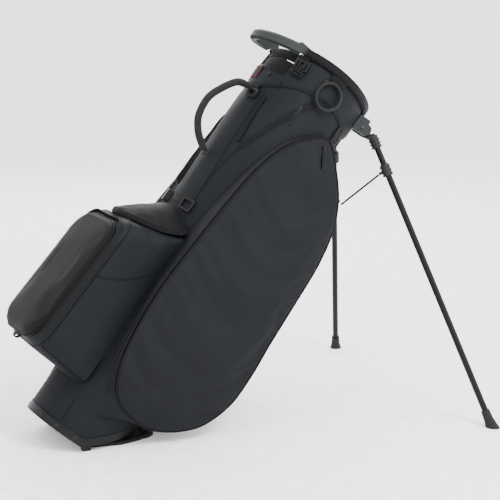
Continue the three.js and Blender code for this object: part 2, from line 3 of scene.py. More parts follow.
import bmesh
import bpy
import numpy as np
from mathutils import Matrix, Vector, noise
from mathutils.bvhtree import BVHTree
from mathutils.geometry import delaunay_2d_cdt


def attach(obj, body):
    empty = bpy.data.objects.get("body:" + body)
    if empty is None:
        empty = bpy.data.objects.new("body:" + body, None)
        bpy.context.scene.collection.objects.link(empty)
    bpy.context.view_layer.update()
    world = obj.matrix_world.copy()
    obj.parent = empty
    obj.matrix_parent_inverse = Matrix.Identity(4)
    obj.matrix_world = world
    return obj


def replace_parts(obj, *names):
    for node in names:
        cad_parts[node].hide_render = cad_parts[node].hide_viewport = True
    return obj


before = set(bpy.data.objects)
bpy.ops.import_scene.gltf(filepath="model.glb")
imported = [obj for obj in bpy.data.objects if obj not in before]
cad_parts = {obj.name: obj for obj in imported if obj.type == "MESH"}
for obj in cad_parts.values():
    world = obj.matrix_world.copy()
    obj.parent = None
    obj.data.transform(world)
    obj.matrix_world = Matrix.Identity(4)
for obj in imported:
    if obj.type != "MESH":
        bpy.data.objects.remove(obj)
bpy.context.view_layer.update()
MM = 0.001

# ---- the bag's own frame, in millimetres ----------------------------------
# z runs up the bag's axis and x points at the legs. It leans over the foot plate.
LEAN = math.radians(38.9)
BAG = Matrix.Translation(Vector((-3.3, 0, 2.7)) * MM) @ Matrix.Rotation(LEAN, 4, "Y")
BASE_R, TOP_R, TOP_W = 97, 110, 852
BAND_TOP = 16.6
FRONT_TOP = 803
FRONT_ANGLE = 36
RIM_TALL = 17
FLOOR_BAND = 27.6
CHANNEL = 92


def to_world(points):
    turn = np.array(BAG)
    return (np.asarray(points, float) * MM) @ turn[:3, :3].T + turn[:3, 3]


def to_bag(points):
    turn = np.array(BAG.inverted())
    return (np.asarray(points, float) @ turn[:3, :3].T + turn[:3, 3]) / MM


def radius_at(w):
    return BASE_R + (TOP_R - BASE_R) * np.asarray(w, float) / TOP_W


def rim_top(angle):
    turn = abs((angle + 180) % 360 - 180)
    return TOP_W + 8 + 12 * math.sin(math.radians(turn)) - 10 * turn / 180


def smooth_step(x, low, high):
    t = np.clip((np.asarray(x, float) - low) / (high - low), 0, 1)
    return t * t * (3 - 2 * t)


# ---- camera, light and floor ------------------------------------------------

def add_camera():
    data = bpy.data.cameras.new("camera")
    data.lens = 97.1
    data.sensor_width = 36
    camera = bpy.data.objects.new("camera", data)
    bpy.context.scene.collection.objects.link(camera)
    azimuth, elevation, away = math.radians(-25.92), math.radians(11.99), 2.692
    target = Vector((0.3821, 0, 0.331))
    look = Vector((-math.sin(azimuth) * math.cos(elevation),
                   math.cos(azimuth) * math.cos(elevation), -math.sin(elevation)))
    camera.location = target - look * away
    camera.rotation_euler = look.to_track_quat("-Z", "Y").to_euler()
    bpy.context.scene.camera = camera


def add_area(name, place, target, size, power):
    data = bpy.data.lights.new(name, "AREA")
    data.shape = "DISK"
    data.size = size
    data.energy = power
    lamp = bpy.data.objects.new(name, data)
    lamp.location = place
    lamp.rotation_euler = (Vector(target) - Vector(place)).to_track_quat("-Z", "Y").to_euler()
    bpy.context.scene.collection.objects.link(lamp)


def add_studio():
    middle = (0.3, 0, 0.35)
    add_area("key", (1.0, -2.1, 2.7), (0.45, 0, 0.6), 1.2, 105)
    add_area("fill", (1.4, -2.6, 1.5), middle, 2.2, 36)
    add_area("rim", (1.2, 2.4, 1.8), middle, 1.8, 50)
    world = bpy.data.worlds.new("studio")
    world.use_nodes = True
    background = world.node_tree.nodes["Background"]
    background.inputs["Color"].default_value = (1, 1, 1, 1)
    background.inputs["Strength"].default_value = 2.7
    bpy.context.scene.world = world
    bpy.ops.mesh.primitive_plane_add(size=60, location=(0, 0, 0))
    floor = bpy.context.object
    floor.name = "floor"
    floor.data.materials.append(plastic("floor", (0.96, 0.96, 0.96), 0.9, grain=0))


# ---- materials ---------------------------------------------------------------

def new_material(name, roughness):
    made = bpy.data.materials.new(name)
    made.use_nodes = True
    tree = made.node_tree
    shader = tree.nodes["Principled BSDF"]
    shader.inputs["Roughness"].default_value = roughness
    coords = tree.nodes.new("ShaderNodeTexCoord")
    turned = tree.nodes.new("ShaderNodeMapping")
    turned.inputs["Rotation"].default_value = (0, -LEAN, 0)
    tree.links.new(coords.outputs["Object"], turned.inputs["Vector"])
    return made, tree, shader, turned


def noise_node(tree, vector, scale, detail=3.0):
    made = tree.nodes.new("ShaderNodeTexNoise")
    made.inputs["Scale"].default_value = scale
    made.inputs["Detail"].default_value = detail
    tree.links.new(vector.outputs[0], made.inputs["Vector"])
    return made


def tint(tree, shader, vector, colour, spread, scale):
    source = noise_node(tree, vector, scale, 4.0)
    ramp = tree.nodes.new("ShaderNodeValToRGB")
    ramp.color_ramp.elements[0].position = 0.32
    ramp.color_ramp.elements[1].position = 0.68
    ramp.color_ramp.elements[0].color = (*[c * (1 - spread) for c in colour], 1)
    ramp.color_ramp.elements[1].color = (*[c * (1 + spread) for c in colour], 1)
    tree.links.new(source.outputs["Fac"], ramp.inputs["Fac"])
    tree.links.new(ramp.outputs["Color"], shader.inputs["Base Color"])


def wave_node(tree, vector, direction, period):
    made = tree.nodes.new("ShaderNodeTexWave")
    made.bands_direction = direction
    made.inputs["Scale"].default_value = 2 * math.pi / (20 * period)
    made.inputs["Distortion"].default_value = 0.6
    tree.links.new(vector.outputs[0], made.inputs["Vector"])
    return made


def add_bump(tree, shader, height, strength, distance):
    bump = tree.nodes.new("ShaderNodeBump")
    bump.inputs["Strength"].default_value = strength
    bump.inputs["Distance"].default_value = distance
    tree.links.new(height, bump.inputs["Height"])
    tree.links.new(bump.outputs["Normal"], shader.inputs["Normal"])


def multiply(tree, a, b):
    made = tree.nodes.new("ShaderNodeMath")
    made.operation = "MULTIPLY"
    tree.links.new(a, made.inputs[0])
    tree.links.new(b, made.inputs[1])
    return made.outputs[0]


def woven(name, colour, roughness=0.62, thread=0.0011, sheen=0.0, spread=0.1):
    made, tree, shader, turned = new_material(name, roughness)
    tint(tree, shader, turned, colour, spread, 14)
    across = wave_node(tree, turned, "Z", thread)
    along = wave_node(tree, turned, "DIAGONAL", thread * 1.1)
    weave = multiply(tree, across.outputs["Fac"], along.outputs["Fac"])
    add_bump(tree, shader, weave, 0.35, 0.0004)
    shader.inputs["Specular IOR Level"].default_value = 0.10
    shader.inputs["Sheen Weight"].default_value = sheen
    shader.inputs["Sheen Roughness"].default_value = 0.45
    return made


def ribbed(name, colour, direction="Z", rib=0.0022, roughness=0.8):
    made, tree, shader, turned = new_material(name, roughness)
    tint(tree, shader, turned, colour, 0.18, 160)
    wave = wave_node(tree, turned, direction, rib)
    add_bump(tree, shader, wave.outputs["Fac"], 0.6, 0.0006)
    shader.inputs["Specular IOR Level"].default_value = 0.08
    shader.inputs["Sheen Weight"].default_value = 0.06
    return made


def knitted(name, colour, cell=0.003):
    made, tree, shader, turned = new_material(name, 0.9)
    tint(tree, shader, turned, colour, 0.25, 220)
    cells = tree.nodes.new("ShaderNodeTexVoronoi")
    cells.inputs["Scale"].default_value = 1 / cell
    tree.links.new(turned.outputs[0], cells.inputs["Vector"])
    add_bump(tree, shader, cells.outputs["Distance"], 0.8, 0.0009)
    shader.inputs["Specular IOR Level"].default_value = 0.1
    shader.inputs["Sheen Weight"].default_value = 0.08
    return made


def plastic(name, colour, roughness, grain=0.12, metallic=0.0, coat=0.0):
    made, tree, shader, turned = new_material(name, roughness)
    tint(tree, shader, turned, colour, 0.06, 35)
    shader.inputs["Metallic"].default_value = metallic
    shader.inputs["Coat Weight"].default_value = coat
    shader.inputs["Specular IOR Level"].default_value = 0.3 if coat else 0.13
    if grain:
        add_bump(tree, shader, noise_node(tree, turned, 1300).outputs["Fac"], grain, 0.0005)
    return made


PAINT = {}


def mix_materials():
    PAINT["shell"] = (woven("nylon_shell", (0.0045, 0.0053, 0.0071)), "shell_fabric")
    PAINT["panel"] = (woven("nylon_panel", (0.0044, 0.0050, 0.0066), 0.6), "shell_fabric")
    PAINT["dark"] = (woven("nylon_dark", (0.0018, 0.0021, 0.0024), 0.66), "shell_fabric")
    PAINT["piping"] = (woven("piping_cloth", (0.0015, 0.0016, 0.0022), 0.55), "shell_fabric")
    PAINT["lining"] = (woven("lining", (0.0040, 0.0045, 0.0055), 0.8), "shell_fabric")
    PAINT["stitch"] = (plastic("thread", (0.0070, 0.0075, 0.0095), 0.7), "webbing")
    PAINT["knit"] = (knitted("spacer_knit", (0.0043, 0.0045, 0.0055)), "padded_knit")
    PAINT["mesh"] = (knitted("strap_knit", (0.0048, 0.0044, 0.0038), 0.004), "padded_knit")
    PAINT["webbing"] = (ribbed("webbing", (0.0042, 0.0042, 0.0043)), "webbing")
    PAINT["handle"] = (ribbed("handle_webbing", (0.0126, 0.0118, 0.0109), "Z", 0.0026), "webbing")
    PAINT["zip"] = (ribbed("zip_tape", (0.0043, 0.0045, 0.0050), "X", 0.0012), "webbing")
    PAINT["coil"] = (plastic("zip_coil", (0.0080, 0.0085, 0.0090), 0.4, 0), "moulded_plastic")
    PAINT["moulded"] = (plastic("moulded", (0.0135, 0.0150, 0.0154), 0.5), "moulded_plastic")
    PAINT["dark_moulded"] = (plastic("dark_moulded", (0.0049, 0.0056, 0.0058), 0.42), "moulded_plastic")
    PAINT["grip"] = (plastic("grip_rubber", (0.0190, 0.0208, 0.0210), 0.55), "moulded_plastic")
    PAINT["rubber"] = (plastic("rubber_black", (0.0100, 0.0110, 0.0115), 0.7, 0.3), "rubber")
    PAINT["gloss"] = (plastic("gloss_black", (0.003, 0.003, 0.0035), 0.2, 0), "leg_tube")
    PAINT["steel"] = (plastic("rod_steel", (0.035, 0.036, 0.038), 0.35, 0.05, 0.6), "steel_rod")
    PAINT["red"] = (plastic("red_thread", (0.24, 0.02, 0.02), 0.7), "webbing")


# ---- mesh tools ----------------------------------------------------------------

def build(name, points, faces, paint, body="bag", world=False, sharp=38):
    points = np.asarray(points, float) if world else to_world(points)
    mesh = bpy.data.meshes.new(name)
    mesh.from_pydata(points.tolist(), [], [list(map(int, f)) for f in faces])
    edit = bmesh.new()
    edit.from_mesh(mesh)
    bmesh.ops.recalc_face_normals(edit, faces=edit.faces)
    edit.to_mesh(mesh)
    edit.free()
    mesh.shade_smooth()
    mesh.set_sharp_from_angle(angle=math.radians(sharp))
    made = bpy.data.objects.new(name, mesh)
    bpy.context.scene.collection.objects.link(made)
    material, slot = PAINT[paint]
    mesh.materials.append(material)
    if body:
        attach(made, body)
    return made


def join_parts(parts):
    points, faces, start = [], [], 0
    for p, f in parts:
        points.append(np.asarray(p, float))
        faces.extend([[i + start for i in face] for face in f])
        start += len(p)
    return np.vstack(points), faces


def unit(v):
    v = np.asarray(v, float)
    return v / np.maximum(np.linalg.norm(v, axis=-1, keepdims=True), 1e-12)


def curve(control, count, closed=False):
    """Evenly spaced points on a smooth curve through the control points."""
    control = np.asarray(control, float)
    n = len(control)
    dense = []
    last = n if closed else n - 1
    for i in range(last):
        if closed:
            p = [control[(i + k) % n] for k in (-1, 0, 1, 2)]
        else:
            p = [control[min(max(i + k, 0), n - 1)] for k in (-1, 0, 1, 2)]
        for t in np.linspace(0, 1, 24, endpoint=False):
            dense.append(0.5 * (2 * p[1] + (p[2] - p[0]) * t
                                + (2 * p[0] - 5 * p[1] + 4 * p[2] - p[3]) * t * t
                                + (3 * p[1] - p[0] - 3 * p[2] + p[3]) * t ** 3))
    dense.append(control[0] if closed else control[-1])
    return resample(np.array(dense), count, closed)


def resample(dense, count, closed=False):
    run = np.concatenate([[0], np.cumsum(np.linalg.norm(np.diff(dense, axis=0), axis=1))])
    at = np.linspace(0, run[-1], count, endpoint=not closed)
    return np.column_stack([np.interp(at, run, dense[:, k]) for k in range(dense.shape[1])])


def length_of(path):
    return float(np.linalg.norm(np.diff(path, axis=0), axis=1).sum())


def tangents(path, closed=False):
    if closed:
        return unit(np.roll(path, -1, axis=0) - np.roll(path, 1, axis=0))
    return unit(np.gradient(path, axis=0))


def frames(path, normals, closed=False):
    along = tangents(path, closed)
    side = unit(np.cross(normals, along))
    return side, unit(np.cross(along, side))


def sweep(path, normals, section, closed=False):
    """A closed solid: section points are (sideways, outwards) pairs, in millimetres."""
    side, up = frames(path, normals, closed)
    section = np.asarray(section, float)
    rings = (path[:, None] + side[:, None] * section[None, :, :1] + up[:, None] * section[None, :, 1:])
    count = len(section)
    faces = []
    last = len(path) if closed else len(path) - 1
    for i in range(last):
        a, b = i * count, ((i + 1) % len(path)) * count
        for k in range(count):
            n = (k + 1) % count
            faces.append([a + k, a + n, b + n, b + k])
    if not closed:
        faces.append(list(range(count))[::-1])
        faces.append([(len(path) - 1) * count + k for k in range(count)])
    return rings.reshape(-1, 3), faces


def round_section(r, sides=10, lift=0.0, squash=1.0):
    t = np.arange(sides) / sides * 2 * math.pi
    return np.column_stack([r * np.cos(t), lift + squash * r * np.sin(t)])


def strap_section(width, thick, lift=0.0, roll=0.35):
    w, h = width / 2, thick
    r = min(roll, h / 2.2)
    return [(-w, lift + r), (-w + r, lift), (w - r, lift), (w, lift + r), (w, lift + h - r),
            (w - r, lift + h),
            (-w + r, lift + h), (-w, lift + h - r)]


def grid_faces(rows, cols, wrap=False):
    faces = []
    for i in range(rows - 1):
        for k in range(cols if wrap else cols - 1):
            n = (k + 1) % cols
            faces.append([i * cols + k, i * cols + n, (i + 1) * cols + n, (i + 1) * cols + k])
    return faces


def stitches(path, normals, pitch=4.2, length=2.9, r=0.42, lift=0.3):
    """A row of short sewn dashes as small closed prisms."""
    count = max(int(length_of(path) / pitch), 2)
    fine = resample(np.column_stack([path, normals]), count * 2 + 1)
    spots, up = fine[:, :3], unit(fine[:, 3:])
    along = tangents(spots)
    parts = []
    six = [(math.cos(k * math.pi / 3), math.sin(k * math.pi / 3)) for k in range(6)]
    for i in range(0, len(spots) - 1, 2):
        side = unit(np.cross(up[i], along[i]))
        centre = spots[i] + up[i] * lift
        rings = []
        for at, size in ((-0.5, 0.45), (-0.32, 1), (0.32, 1), (0.5, 0.45)):
            mid = centre + along[i] * at * length
            rings.append([mid + side * r * size * c + up[i] * r * size * s for c, s in six])
        faces = grid_faces(4, 6, wrap=True) + [[5, 4, 3, 2, 1, 0], [18, 19, 20, 21, 22, 23]]
        parts.append((np.array(rings).reshape(-1, 3), faces))
    return join_parts(parts)


def boxes(centres, along, up, size):
    """Many small bevelled blocks: size is (along, across, tall)."""
    parts = []
    a, b, c = [s / 2 for s in size]
    chamfer = min(size) * 0.22
    for centre, t, n in zip(centres, along, up):
        side = unit(np.cross(n, t))
        corners = []
        for z, shrink in ((-c, chamfer), (-c + chamfer, 0), (c - chamfer, 0), (c, chamfer)):
            for x, y in ((-1, -1), (1, -1), (1, 1), (-1, 1)):
                corners.append(centre + t * x * (a - shrink) + side * y * (b - shrink) + n * z)
        faces = grid_faces(4, 4, wrap=True) + [[3, 2, 1, 0], [12, 13, 14, 15]]
        parts.append((np.array(corners), faces))
    return join_parts(parts)


def zip_run(name, path, normals, body="bag", width=17, teeth=5.0, closed=False):
    """Two tapes, a coil down the middle and the stitching that holds them."""
    side, up = frames(path, normals, closed)
    tapes = []
    for sign in (-1, 1):
        middle = path + side * sign * (width / 4 + teeth / 5)
        tapes.append(sweep(middle, normals, strap_section(width / 2 - 1.2, 0.8, 0.15), closed))
    build(f"{name}_tape", *join_parts(tapes), "zip", body)
    count = int(length_of(path) / 2.1)
    fine = resample(np.column_stack([path, normals]), count)
    spots, face = fine[:, :3], unit(fine[:, 3:])
    along = tangents(spots)
    build(f"{name}_coil", *boxes(spots + face * 0.95, along, face, (1.25, teeth, 1.5)), "coil", body)
    rows = [stitches(path + side * sign * (width / 2 - 1.8) + up * 0.75, normals) for sign in (-1, 1)]
    build(f"{name}_stitching", *join_parts(rows), "stitch", body)


# ---- the body ---------------------------------------------------------------------

def on_shell(angle, w, out=0.0):
    """A point on the shell and its outward direction: angle is 0 at the spine, 90 on the right."""
    a = np.radians(np.asarray(angle, float))
    w = np.asarray(w, float) + 0 * a
    a = a + 0 * w
    r = radius_at(w) + out
    point = np.stack([-r * np.cos(a), -r * np.sin(a), w], -1)
    normal = np.stack([-np.cos(a), -np.sin(a), 0 * a], -1)
    return point, normal


def shell_bottom(angle):
    reach = -math.cos(math.radians(angle)) * (BASE_R + 1)
    return max(BAND_TOP, (FLOOR_BAND - 2.7 + reach * math.sin(LEAN)) / math.cos(LEAN))


def shell_top(angle):
    turn = abs((angle + 180) % 360 - 180)
    rise = float(smooth_step(turn, FRONT_ANGLE - 4, FRONT_ANGLE + 3))
    return FRONT_TOP + (rim_top(angle) - RIM_TALL - FRONT_TOP) * rise


COLLAR_SEAM = [(-180, 784), (-150, 782), (-120, 784), (-86, 797), (-56, 789), (-27, 767), (-12, 755),
               (12, 755),
               (27, 767), (56, 789), (86, 797), (120, 784), (150, 782), (180, 784)]


def collar_seam(angle):
    return np.interp((np.asarray(angle, float) + 180) % 360 - 180, *zip(*COLLAR_SEAM))


def shell_puff(angle, w):
    """How far the fabric stands off the cone: a soft collar, quilted panels and shallow wrinkles."""
    turn = (angle + 180) % 360 - 180
    seam = collar_seam(turn)
    collar = 2.6 * smooth_step(w, seam - 1.5, seam + 5)
    panels = 1.3 * abs(math.cos(math.radians(3 * angle)))
    waist = -1.4 * smooth_step(w, seam - 60, seam) * (1 - smooth_step(w, seam - 1, seam))
    return collar + panels * (1 - smooth_step(w, seam - 10, seam)) + waist


def build_shell():
    columns, rows = 216, 210
    angles = np.arange(columns) * 360 / columns
    outer, inner = [], []
    for i in range(rows):
        t = i / (rows - 1)
        for a in angles:
            low, high = shell_bottom(a), shell_top(a)
            w = low + (high - low) * t
            point, normal = on_shell(a, w, 0.6)
            edge = math.sin(math.pi * min(t * 12, 1) / 2) * math.sin(math.pi * min((1 - t) * 30, 1) / 2)
            puff = float(shell_puff(a, w)) * edge
            fold = noise.noise(Vector((point[0] / 46, point[1] / 46, w / 110))) * 1.7
            crease = noise.noise(Vector((point[0] / 17, point[1] / 17 + 9, w / 60))) * 0.5
            outer.append(point + normal * (puff + (fold + crease) * edge))
            inner.append(on_shell(a, w, -3.2)[0])
    faces = grid_faces(rows, columns, wrap=True)
    shift = rows * columns
    inner_grid = np.array(inner)
    points = np.vstack([np.array(outer), inner_grid])
    faces += [[i + shift for i in face][::-1] for face in grid_faces(rows, columns, wrap=True)]
    for k in range(columns):
        n = (k + 1) % columns
        top = (rows - 1) * columns
        faces.append([top + k, top + n, shift + top + n, shift + top + k])
        faces.append([n, k, shift + k, shift + n])
    shell = build("body_shell", points, faces, "shell", sharp=60)
    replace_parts(shell, "panel_spine", "panel_front_right", "panel_front_left", "panel_hip_right",
                "panel_hip_left", "panel_hip_centre", "cuff")
    return BVHTree.FromPolygons([Vector(p) for p in points[:shift]], grid_faces(rows, columns, wrap=True))


def lay(tree, angle_w, out=0.2):
    """Points on the shell's real surface along a list of (angle, height), with their normals."""
    spots, normals = [], []
    for angle, w in angle_w:
        far, normal = on_shell(angle, w, 60)
        hit = tree.ray_cast(Vector(far), Vector(-normal))[0]
        point = np.array(hit) if hit is not None else on_shell(angle, w)[0]
        spots.append(point + normal * out)
        normals.append(normal)
    return np.array(spots), np.array(normals)


def seam_line(tree, name, control, count=60, width=1.5, rows=1, closed=False, gap=3.4):
    route = curve(control, count, closed) if not closed else np.array(control)
    path, normals = lay(tree, route)
    build(f"{name}_seam", *sweep(path, normals, round_section(width / 2, 8, 0.1, 0.8), closed), "piping")
    side, _ = frames(path, normals, closed)
    for k in range(rows):
        build(f"{name}_stitch_{k + 1}", *stitches(path + side * (gap + k * 2.6), normals), "stitch")


def build_shell_trim(tree):
    around = [(a, float(collar_seam(a)) - 0.5) for a in np.arange(0, 360, 3.0)]
    seam_line(tree, "collar", around, closed=True, width=2.2)
    for sign, label in ((1, "right"), (-1, "left")):
        def turned(route):
            return [(sign * a, w) for a, w in route]

        seam_line(tree, f"front_{label}", turned([(24, 752), (24, 660), (27, 560), (29, 488), (32, 440),
                                                  (36, 380),
                                                  (40, 300), (44, 180), (46, 60), (46, 22)]), 120)
        seam_line(tree, f"hip_{label}", turned([(140, 770), (140, 600), (142, 400), (143, 200), (144, 130)]),
                  90)
        upper_zip = turned([(88, 795), (80, 787), (71, 765), (58, 718), (46, 668), (39, 636)])
        path, normals = lay(tree, curve(upper_zip, 70), 0.1)
        zip_run(f"upper_zip_{label}", path, normals, width=13, teeth=3.6)
        seam_line(tree, f"upper_flap_{label}", turned([(86, 800), (78, 792), (69, 770), (56, 722), (44, 672),
                                                       (36, 634)]), 70, 2.4)
        seam_line(tree, f"lower_curve_{label}", turned([(39, 636), (33, 600), (30, 560), (29, 520)]), 30,
                  1.6)
    welt, normals = lay(tree, curve([(29, 744), (30, 700), (33, 642)], 40), 0.4)
    build("slot_welt", *sweep(welt, normals, strap_section(8, 1.6)), "piping")
    build("slot_lip", *sweep(welt, normals, round_section(1.1, 8, 2.0)), "shell")
    edge = [(a, shell_top(a) - 2.2) for a in np.arange(-34, 34.5, 2.0)]
    path, normals = lay(tree, edge, 0.2)
    build("front_edge_binding", *sweep(path, normals,
                                       [(-5, -4), (-5, 1.2), (0, 2), (3, 1.4), (4, -1), (3, -5),
                                                       (0, -5.6)]), "piping")


def build_rim():
    angles = np.arange(FRONT_ANGLE + 3, 360 - FRONT_ANGLE - 2.9, 1.5)
    rings = []
    profile = [(-5.5, 0.5), (0, 0.2), (5.4, 0.6), (7.6, 3), (8.4, 7), (8.0, 11), (6.2, 14.6), (3, 16.6),
               (-0.5, 17),
               (-3.6, 15.4), (-5.6, 12), (-6.4, 7), (-6.2, 3)]
    for i, a in enumerate(angles):
        top = rim_top(a)
        end = min(i, len(angles) - 1 - i)
        size = math.sqrt(min(1, (end + 0.4) / 3.2))
        r = float(radius_at(top))
        t = math.radians(a)
        plump = 1 + 0.03 * math.sin(a * 1.7) + 0.02 * math.sin(a * 3.1)
        ring = []
        for out, up in profile:
            reach = r + 0.8 + out * size * plump
            height = top - RIM_TALL + 8.5 + (up - 8.5) * size * plump
            ring.append((-reach * math.cos(t), -reach * math.sin(t), height))
        rings.append(ring)
    count = len(profile)
    faces = grid_faces(len(rings), count, wrap=True)
    faces.append(list(range(count))[::-1])
    faces.append([(len(rings) - 1) * count + k for k in range(count)])
    rim = build("rim_padding", np.array(rings).reshape(-1, 3), faces, "knit", sharp=70)
    soften(rim, 1)
    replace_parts(rim, "rim_pad")
    for label, drop, out in (("lower", RIM_TALL - 0.3, 4.6), ("upper", 4.2, 8.2)):
        path = np.array([on_shell(a, rim_top(a) - drop, out)[0] for a in angles[1:-1]])
        normals = np.array([on_shell(a, 0)[1] for a in angles[1:-1]])
        build(f"rim_piping_{label}", *sweep(path, normals, round_section(1.1, 8)), "piping")


def soften(piece, levels):
    modifier = piece.modifiers.new("smooth", "SUBSURF")
    modifier.levels = modifier.render_levels = levels
    apply_modifier(piece, modifier)


def apply_modifier(piece, modifier):
    bpy.context.view_layer.objects.active = piece
    with bpy.context.temp_override(object=piece, active_object=piece, selected_objects=[piece]):
        bpy.ops.object.modifier_apply(modifier=modifier.name)


# ---- side pockets ------------------------------------------------------------------

# The big side panel's edge, as (towards the legs, up the bag) pairs.
PANEL_EDGE = [(26, 742), (-14, 706), (-40, 664), (-60, 600), (-70, 520), (-78, 420), (-82, 320), (-74, 230),
              (-58, 165),
              (-28, 118), (14, 99), (66, 97), (118, 122), (158, 162), (180, 222), (182, 290), (176, 360),
              (171, 450),
              (166, 540), (150, 614), (122, 668), (76, 716), (50, 738)]
PANEL_DEEP = [(97, 121), (150, 127), (230, 131), (450, 133), (600, 130), (700, 123), (745, 118)]


def panel_depth(w):
    return np.interp(w, *zip(*PANEL_DEEP))


def gusset_foot(u, w):
    """Where the gusset under an edge point meets the shell, or the leg channel's wall."""
    r = float(radius_at(w)) + 2.2
    if u < 62:
        return math.sqrt(max(r * r - u * u, 0)) if abs(u) < r else 0
    return max(CHANNEL + 1, 80 + 0.505 * (u - 110) + 1)


def gusset_spread(u, w):
    """How far the gusset flares on its way to the shell, at the pocket's lower front corner."""
    return float(smooth_step(300 - w, 0, 180)) * float(smooth_step(50 - u, 0, 60))


def gusset_end(u, w, side):
    spread = gusset_spread(u, w)
    foot_u, foot_w = max(u - 48 * spread, -90), w - 52 * spread
    return np.array([foot_u, side * gusset_foot(foot_u, max(foot_w, 30)), foot_w])


def inside(point, edge):
    x, y = point
    hit = False
    for (x1, y1), (x2, y2) in zip(edge, np.roll(edge, -1, axis=0)):
        if (y1 > y) != (y2 > y) and x < (x2 - x1) * (y - y1) / (y2 - y1) + x1:
            hit = not hit
    return hit


def fill_outline(edge, spacing):
    """An even triangle mesh inside a closed outline; its first points are the outline's."""
    low, high = edge.min(0), edge.max(0)
    inner = []
    rows = int((high[1] - low[1]) / (spacing * 0.866))
    for i in range(1, rows):
        y = low[1] + i * spacing * 0.866
        for x in np.arange(low[0] + (i % 2) * spacing / 2, high[0], spacing):
            if inside((x, y), edge) and np.min(np.linalg.norm(edge - (x, y), axis=1)) > spacing * 0.62:
                inner.append((x, y))
    flat = [Vector(p) for p in np.vstack([edge, inner])]
    border = [(k, (k + 1) % len(edge)) for k in range(len(edge))]
    points, _, faces, *_ = delaunay_2d_cdt(flat, border, [], 1, 1e-6)
    return np.array([tuple(p) for p in points]), [list(f) for f in faces]


def drape(piece, pinned, pressure, shrink, frames_run=18, stiff=18.0, gravity=0.35, mass=0.3):
    """Lets a sheet fill and sag between its pinned points, then keeps that shape."""
    group = piece.vertex_groups.new(name="pinned")
    group.add([int(i) for i in pinned], 1.0, "REPLACE")
    modifier = piece.modifiers.new("cloth", "CLOTH")
    settings = modifier.settings
    settings.vertex_group_mass = "pinned"
    settings.quality = 6
    settings.mass = mass
    settings.tension_stiffness = settings.compression_stiffness = stiff
    settings.shear_stiffness = stiff * 0.6
    settings.bending_stiffness = 0.9
    settings.use_pressure = True
    settings.uniform_pressure_force = pressure
    settings.shrink_min = shrink
    settings.effector_weights.gravity = gravity
    modifier.collision_settings.use_collision = False
    modifier.point_cache.frame_end = frames_run + 2
    scene = bpy.context.scene
    for step in range(1, frames_run + 1):
        scene.frame_set(step)
        bpy.context.view_layer.update()
    apply_modifier(piece, modifier)
    scene.frame_set(1)
    piece.vertex_groups.clear()


def cap_moves(piece, before, limit):
    """Holds each point within a distance of where it began, so nothing balloons."""
    now = np.array([v.co for v in piece.data.vertices])
    move = now - before
    size = np.linalg.norm(move, axis=1, keepdims=True)
    kept = before + move * np.minimum(1, limit * MM / np.maximum(size, 1e-9))
    piece.data.vertices.foreach_set("co", kept.ravel())
    piece.data.update()


def closed_faces(faces, count):
    """A sheet's faces, those of the copy behind it, and the strip that joins their edges."""
    edges = dict.fromkeys((a, b) for face in faces for a, b in zip(face, face[1:] + face[:1]))
    rim = [edge for edge in edges if edge[::-1] not in edges]
    back = [[i + count for i in face][::-1] for face in faces]
    return faces + back + [[b, a, a + count, b + count] for a, b in rim]


def thicken(points, faces, normals, thick):
    """A closed sheet: the given surface and a copy of it set back by its thickness."""
    return np.vstack([points, points - normals * thick]), closed_faces(faces, len(points))


def vertex_normals(points, faces):
    normals = np.zeros_like(points)
    for face in faces:
        a, b, c = points[face[0]], points[face[1]], points[face[2]]
        n = np.cross(b - a, c - a)
        for i in face:
            normals[i] += n
    return unit(normals)


def soft_panel(name, edge, surface, paint, spacing, pressure, shrink, limit, body="bag", swell=0.0,
               thick=2.0):
    """A sewn panel: pinned at its edge, puffed and sagged by the cloth solver, then given thickness."""
    flat, faces = fill_outline(edge, spacing)
    reach = np.min(np.linalg.norm(flat[:, None] - edge[None], axis=2), axis=1)
    points = surface(flat, swell * np.clip(reach / 40, 0, 1) ** 0.6)
    work = build(f"{name}_work", points, faces, paint, None)
    before = np.array([v.co for v in work.data.vertices])
    drape(work, [i for i in range(len(flat)) if reach[i] < 0.5], pressure, shrink)
    cap_moves(work, before, limit)
    settled = to_bag([v.co for v in work.data.vertices])
    bpy.data.objects.remove(work)
    normals = vertex_normals(settled, faces)
    outward = surface(np.array([edge.mean(0)]), 10.0)[0] - surface(np.array([edge.mean(0)]), 0.0)[0]
    if (normals @ outward).sum() < 0:
        normals, faces = -normals, [f[::-1] for f in faces]
    closed, all_faces = thicken(settled, faces, normals, thick)
    panel = build(name, closed, all_faces, paint, body, sharp=75)
    return panel


def build_side_pocket(label, side):
    edge = curve(PANEL_EDGE, 240, closed=True)

    def surface(flat, out):
        return np.column_stack([flat[:, 0], side * (panel_depth(flat[:, 1]) + out), flat[:, 1]])

    panel = soft_panel(f"side_pocket_{label}_panel", edge, surface, "panel", 7.5, 1.4, -0.012, 9,
                          swell=5.5)
    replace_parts(panel, f"side_pocket_{label}")
    rim = surface(edge, 0.0)
    outward = np.tile([0.0, side, 0.0], (len(rim), 1))
    build(f"side_pocket_{label}_piping", *sweep(rim, outward, round_section(2.0, 10, 0.4), closed=True),
          "piping")
    toward = unit(np.column_stack([edge.mean(0) - edge]))
    build(f"side_pocket_{label}_stitching", *stitches(surface(edge + toward * 5.5, 0.9), outward), "stitch")
    build_gusset(label, side, edge, rim)
    front = [i for i in range(len(edge)) if edge[i, 0] < 40 and 120 < edge[i, 1] < 742]
    front = sorted(front, key=lambda i: -edge[i, 1])
    along = np.array([rim[i] for i in front])
    feet = np.array([gusset_end(*edge[i], side) for i in front])
    drop = unit(feet - along)
    normal = unit(np.cross(tangents(along), drop))
    if (normal[:, 0].sum()) > 0:
        normal = -normal
    centre = along + drop * 9.5 + normal * 2.6
    zip_run(f"side_zip_{label}", centre, normal, width=14, teeth=3.8)


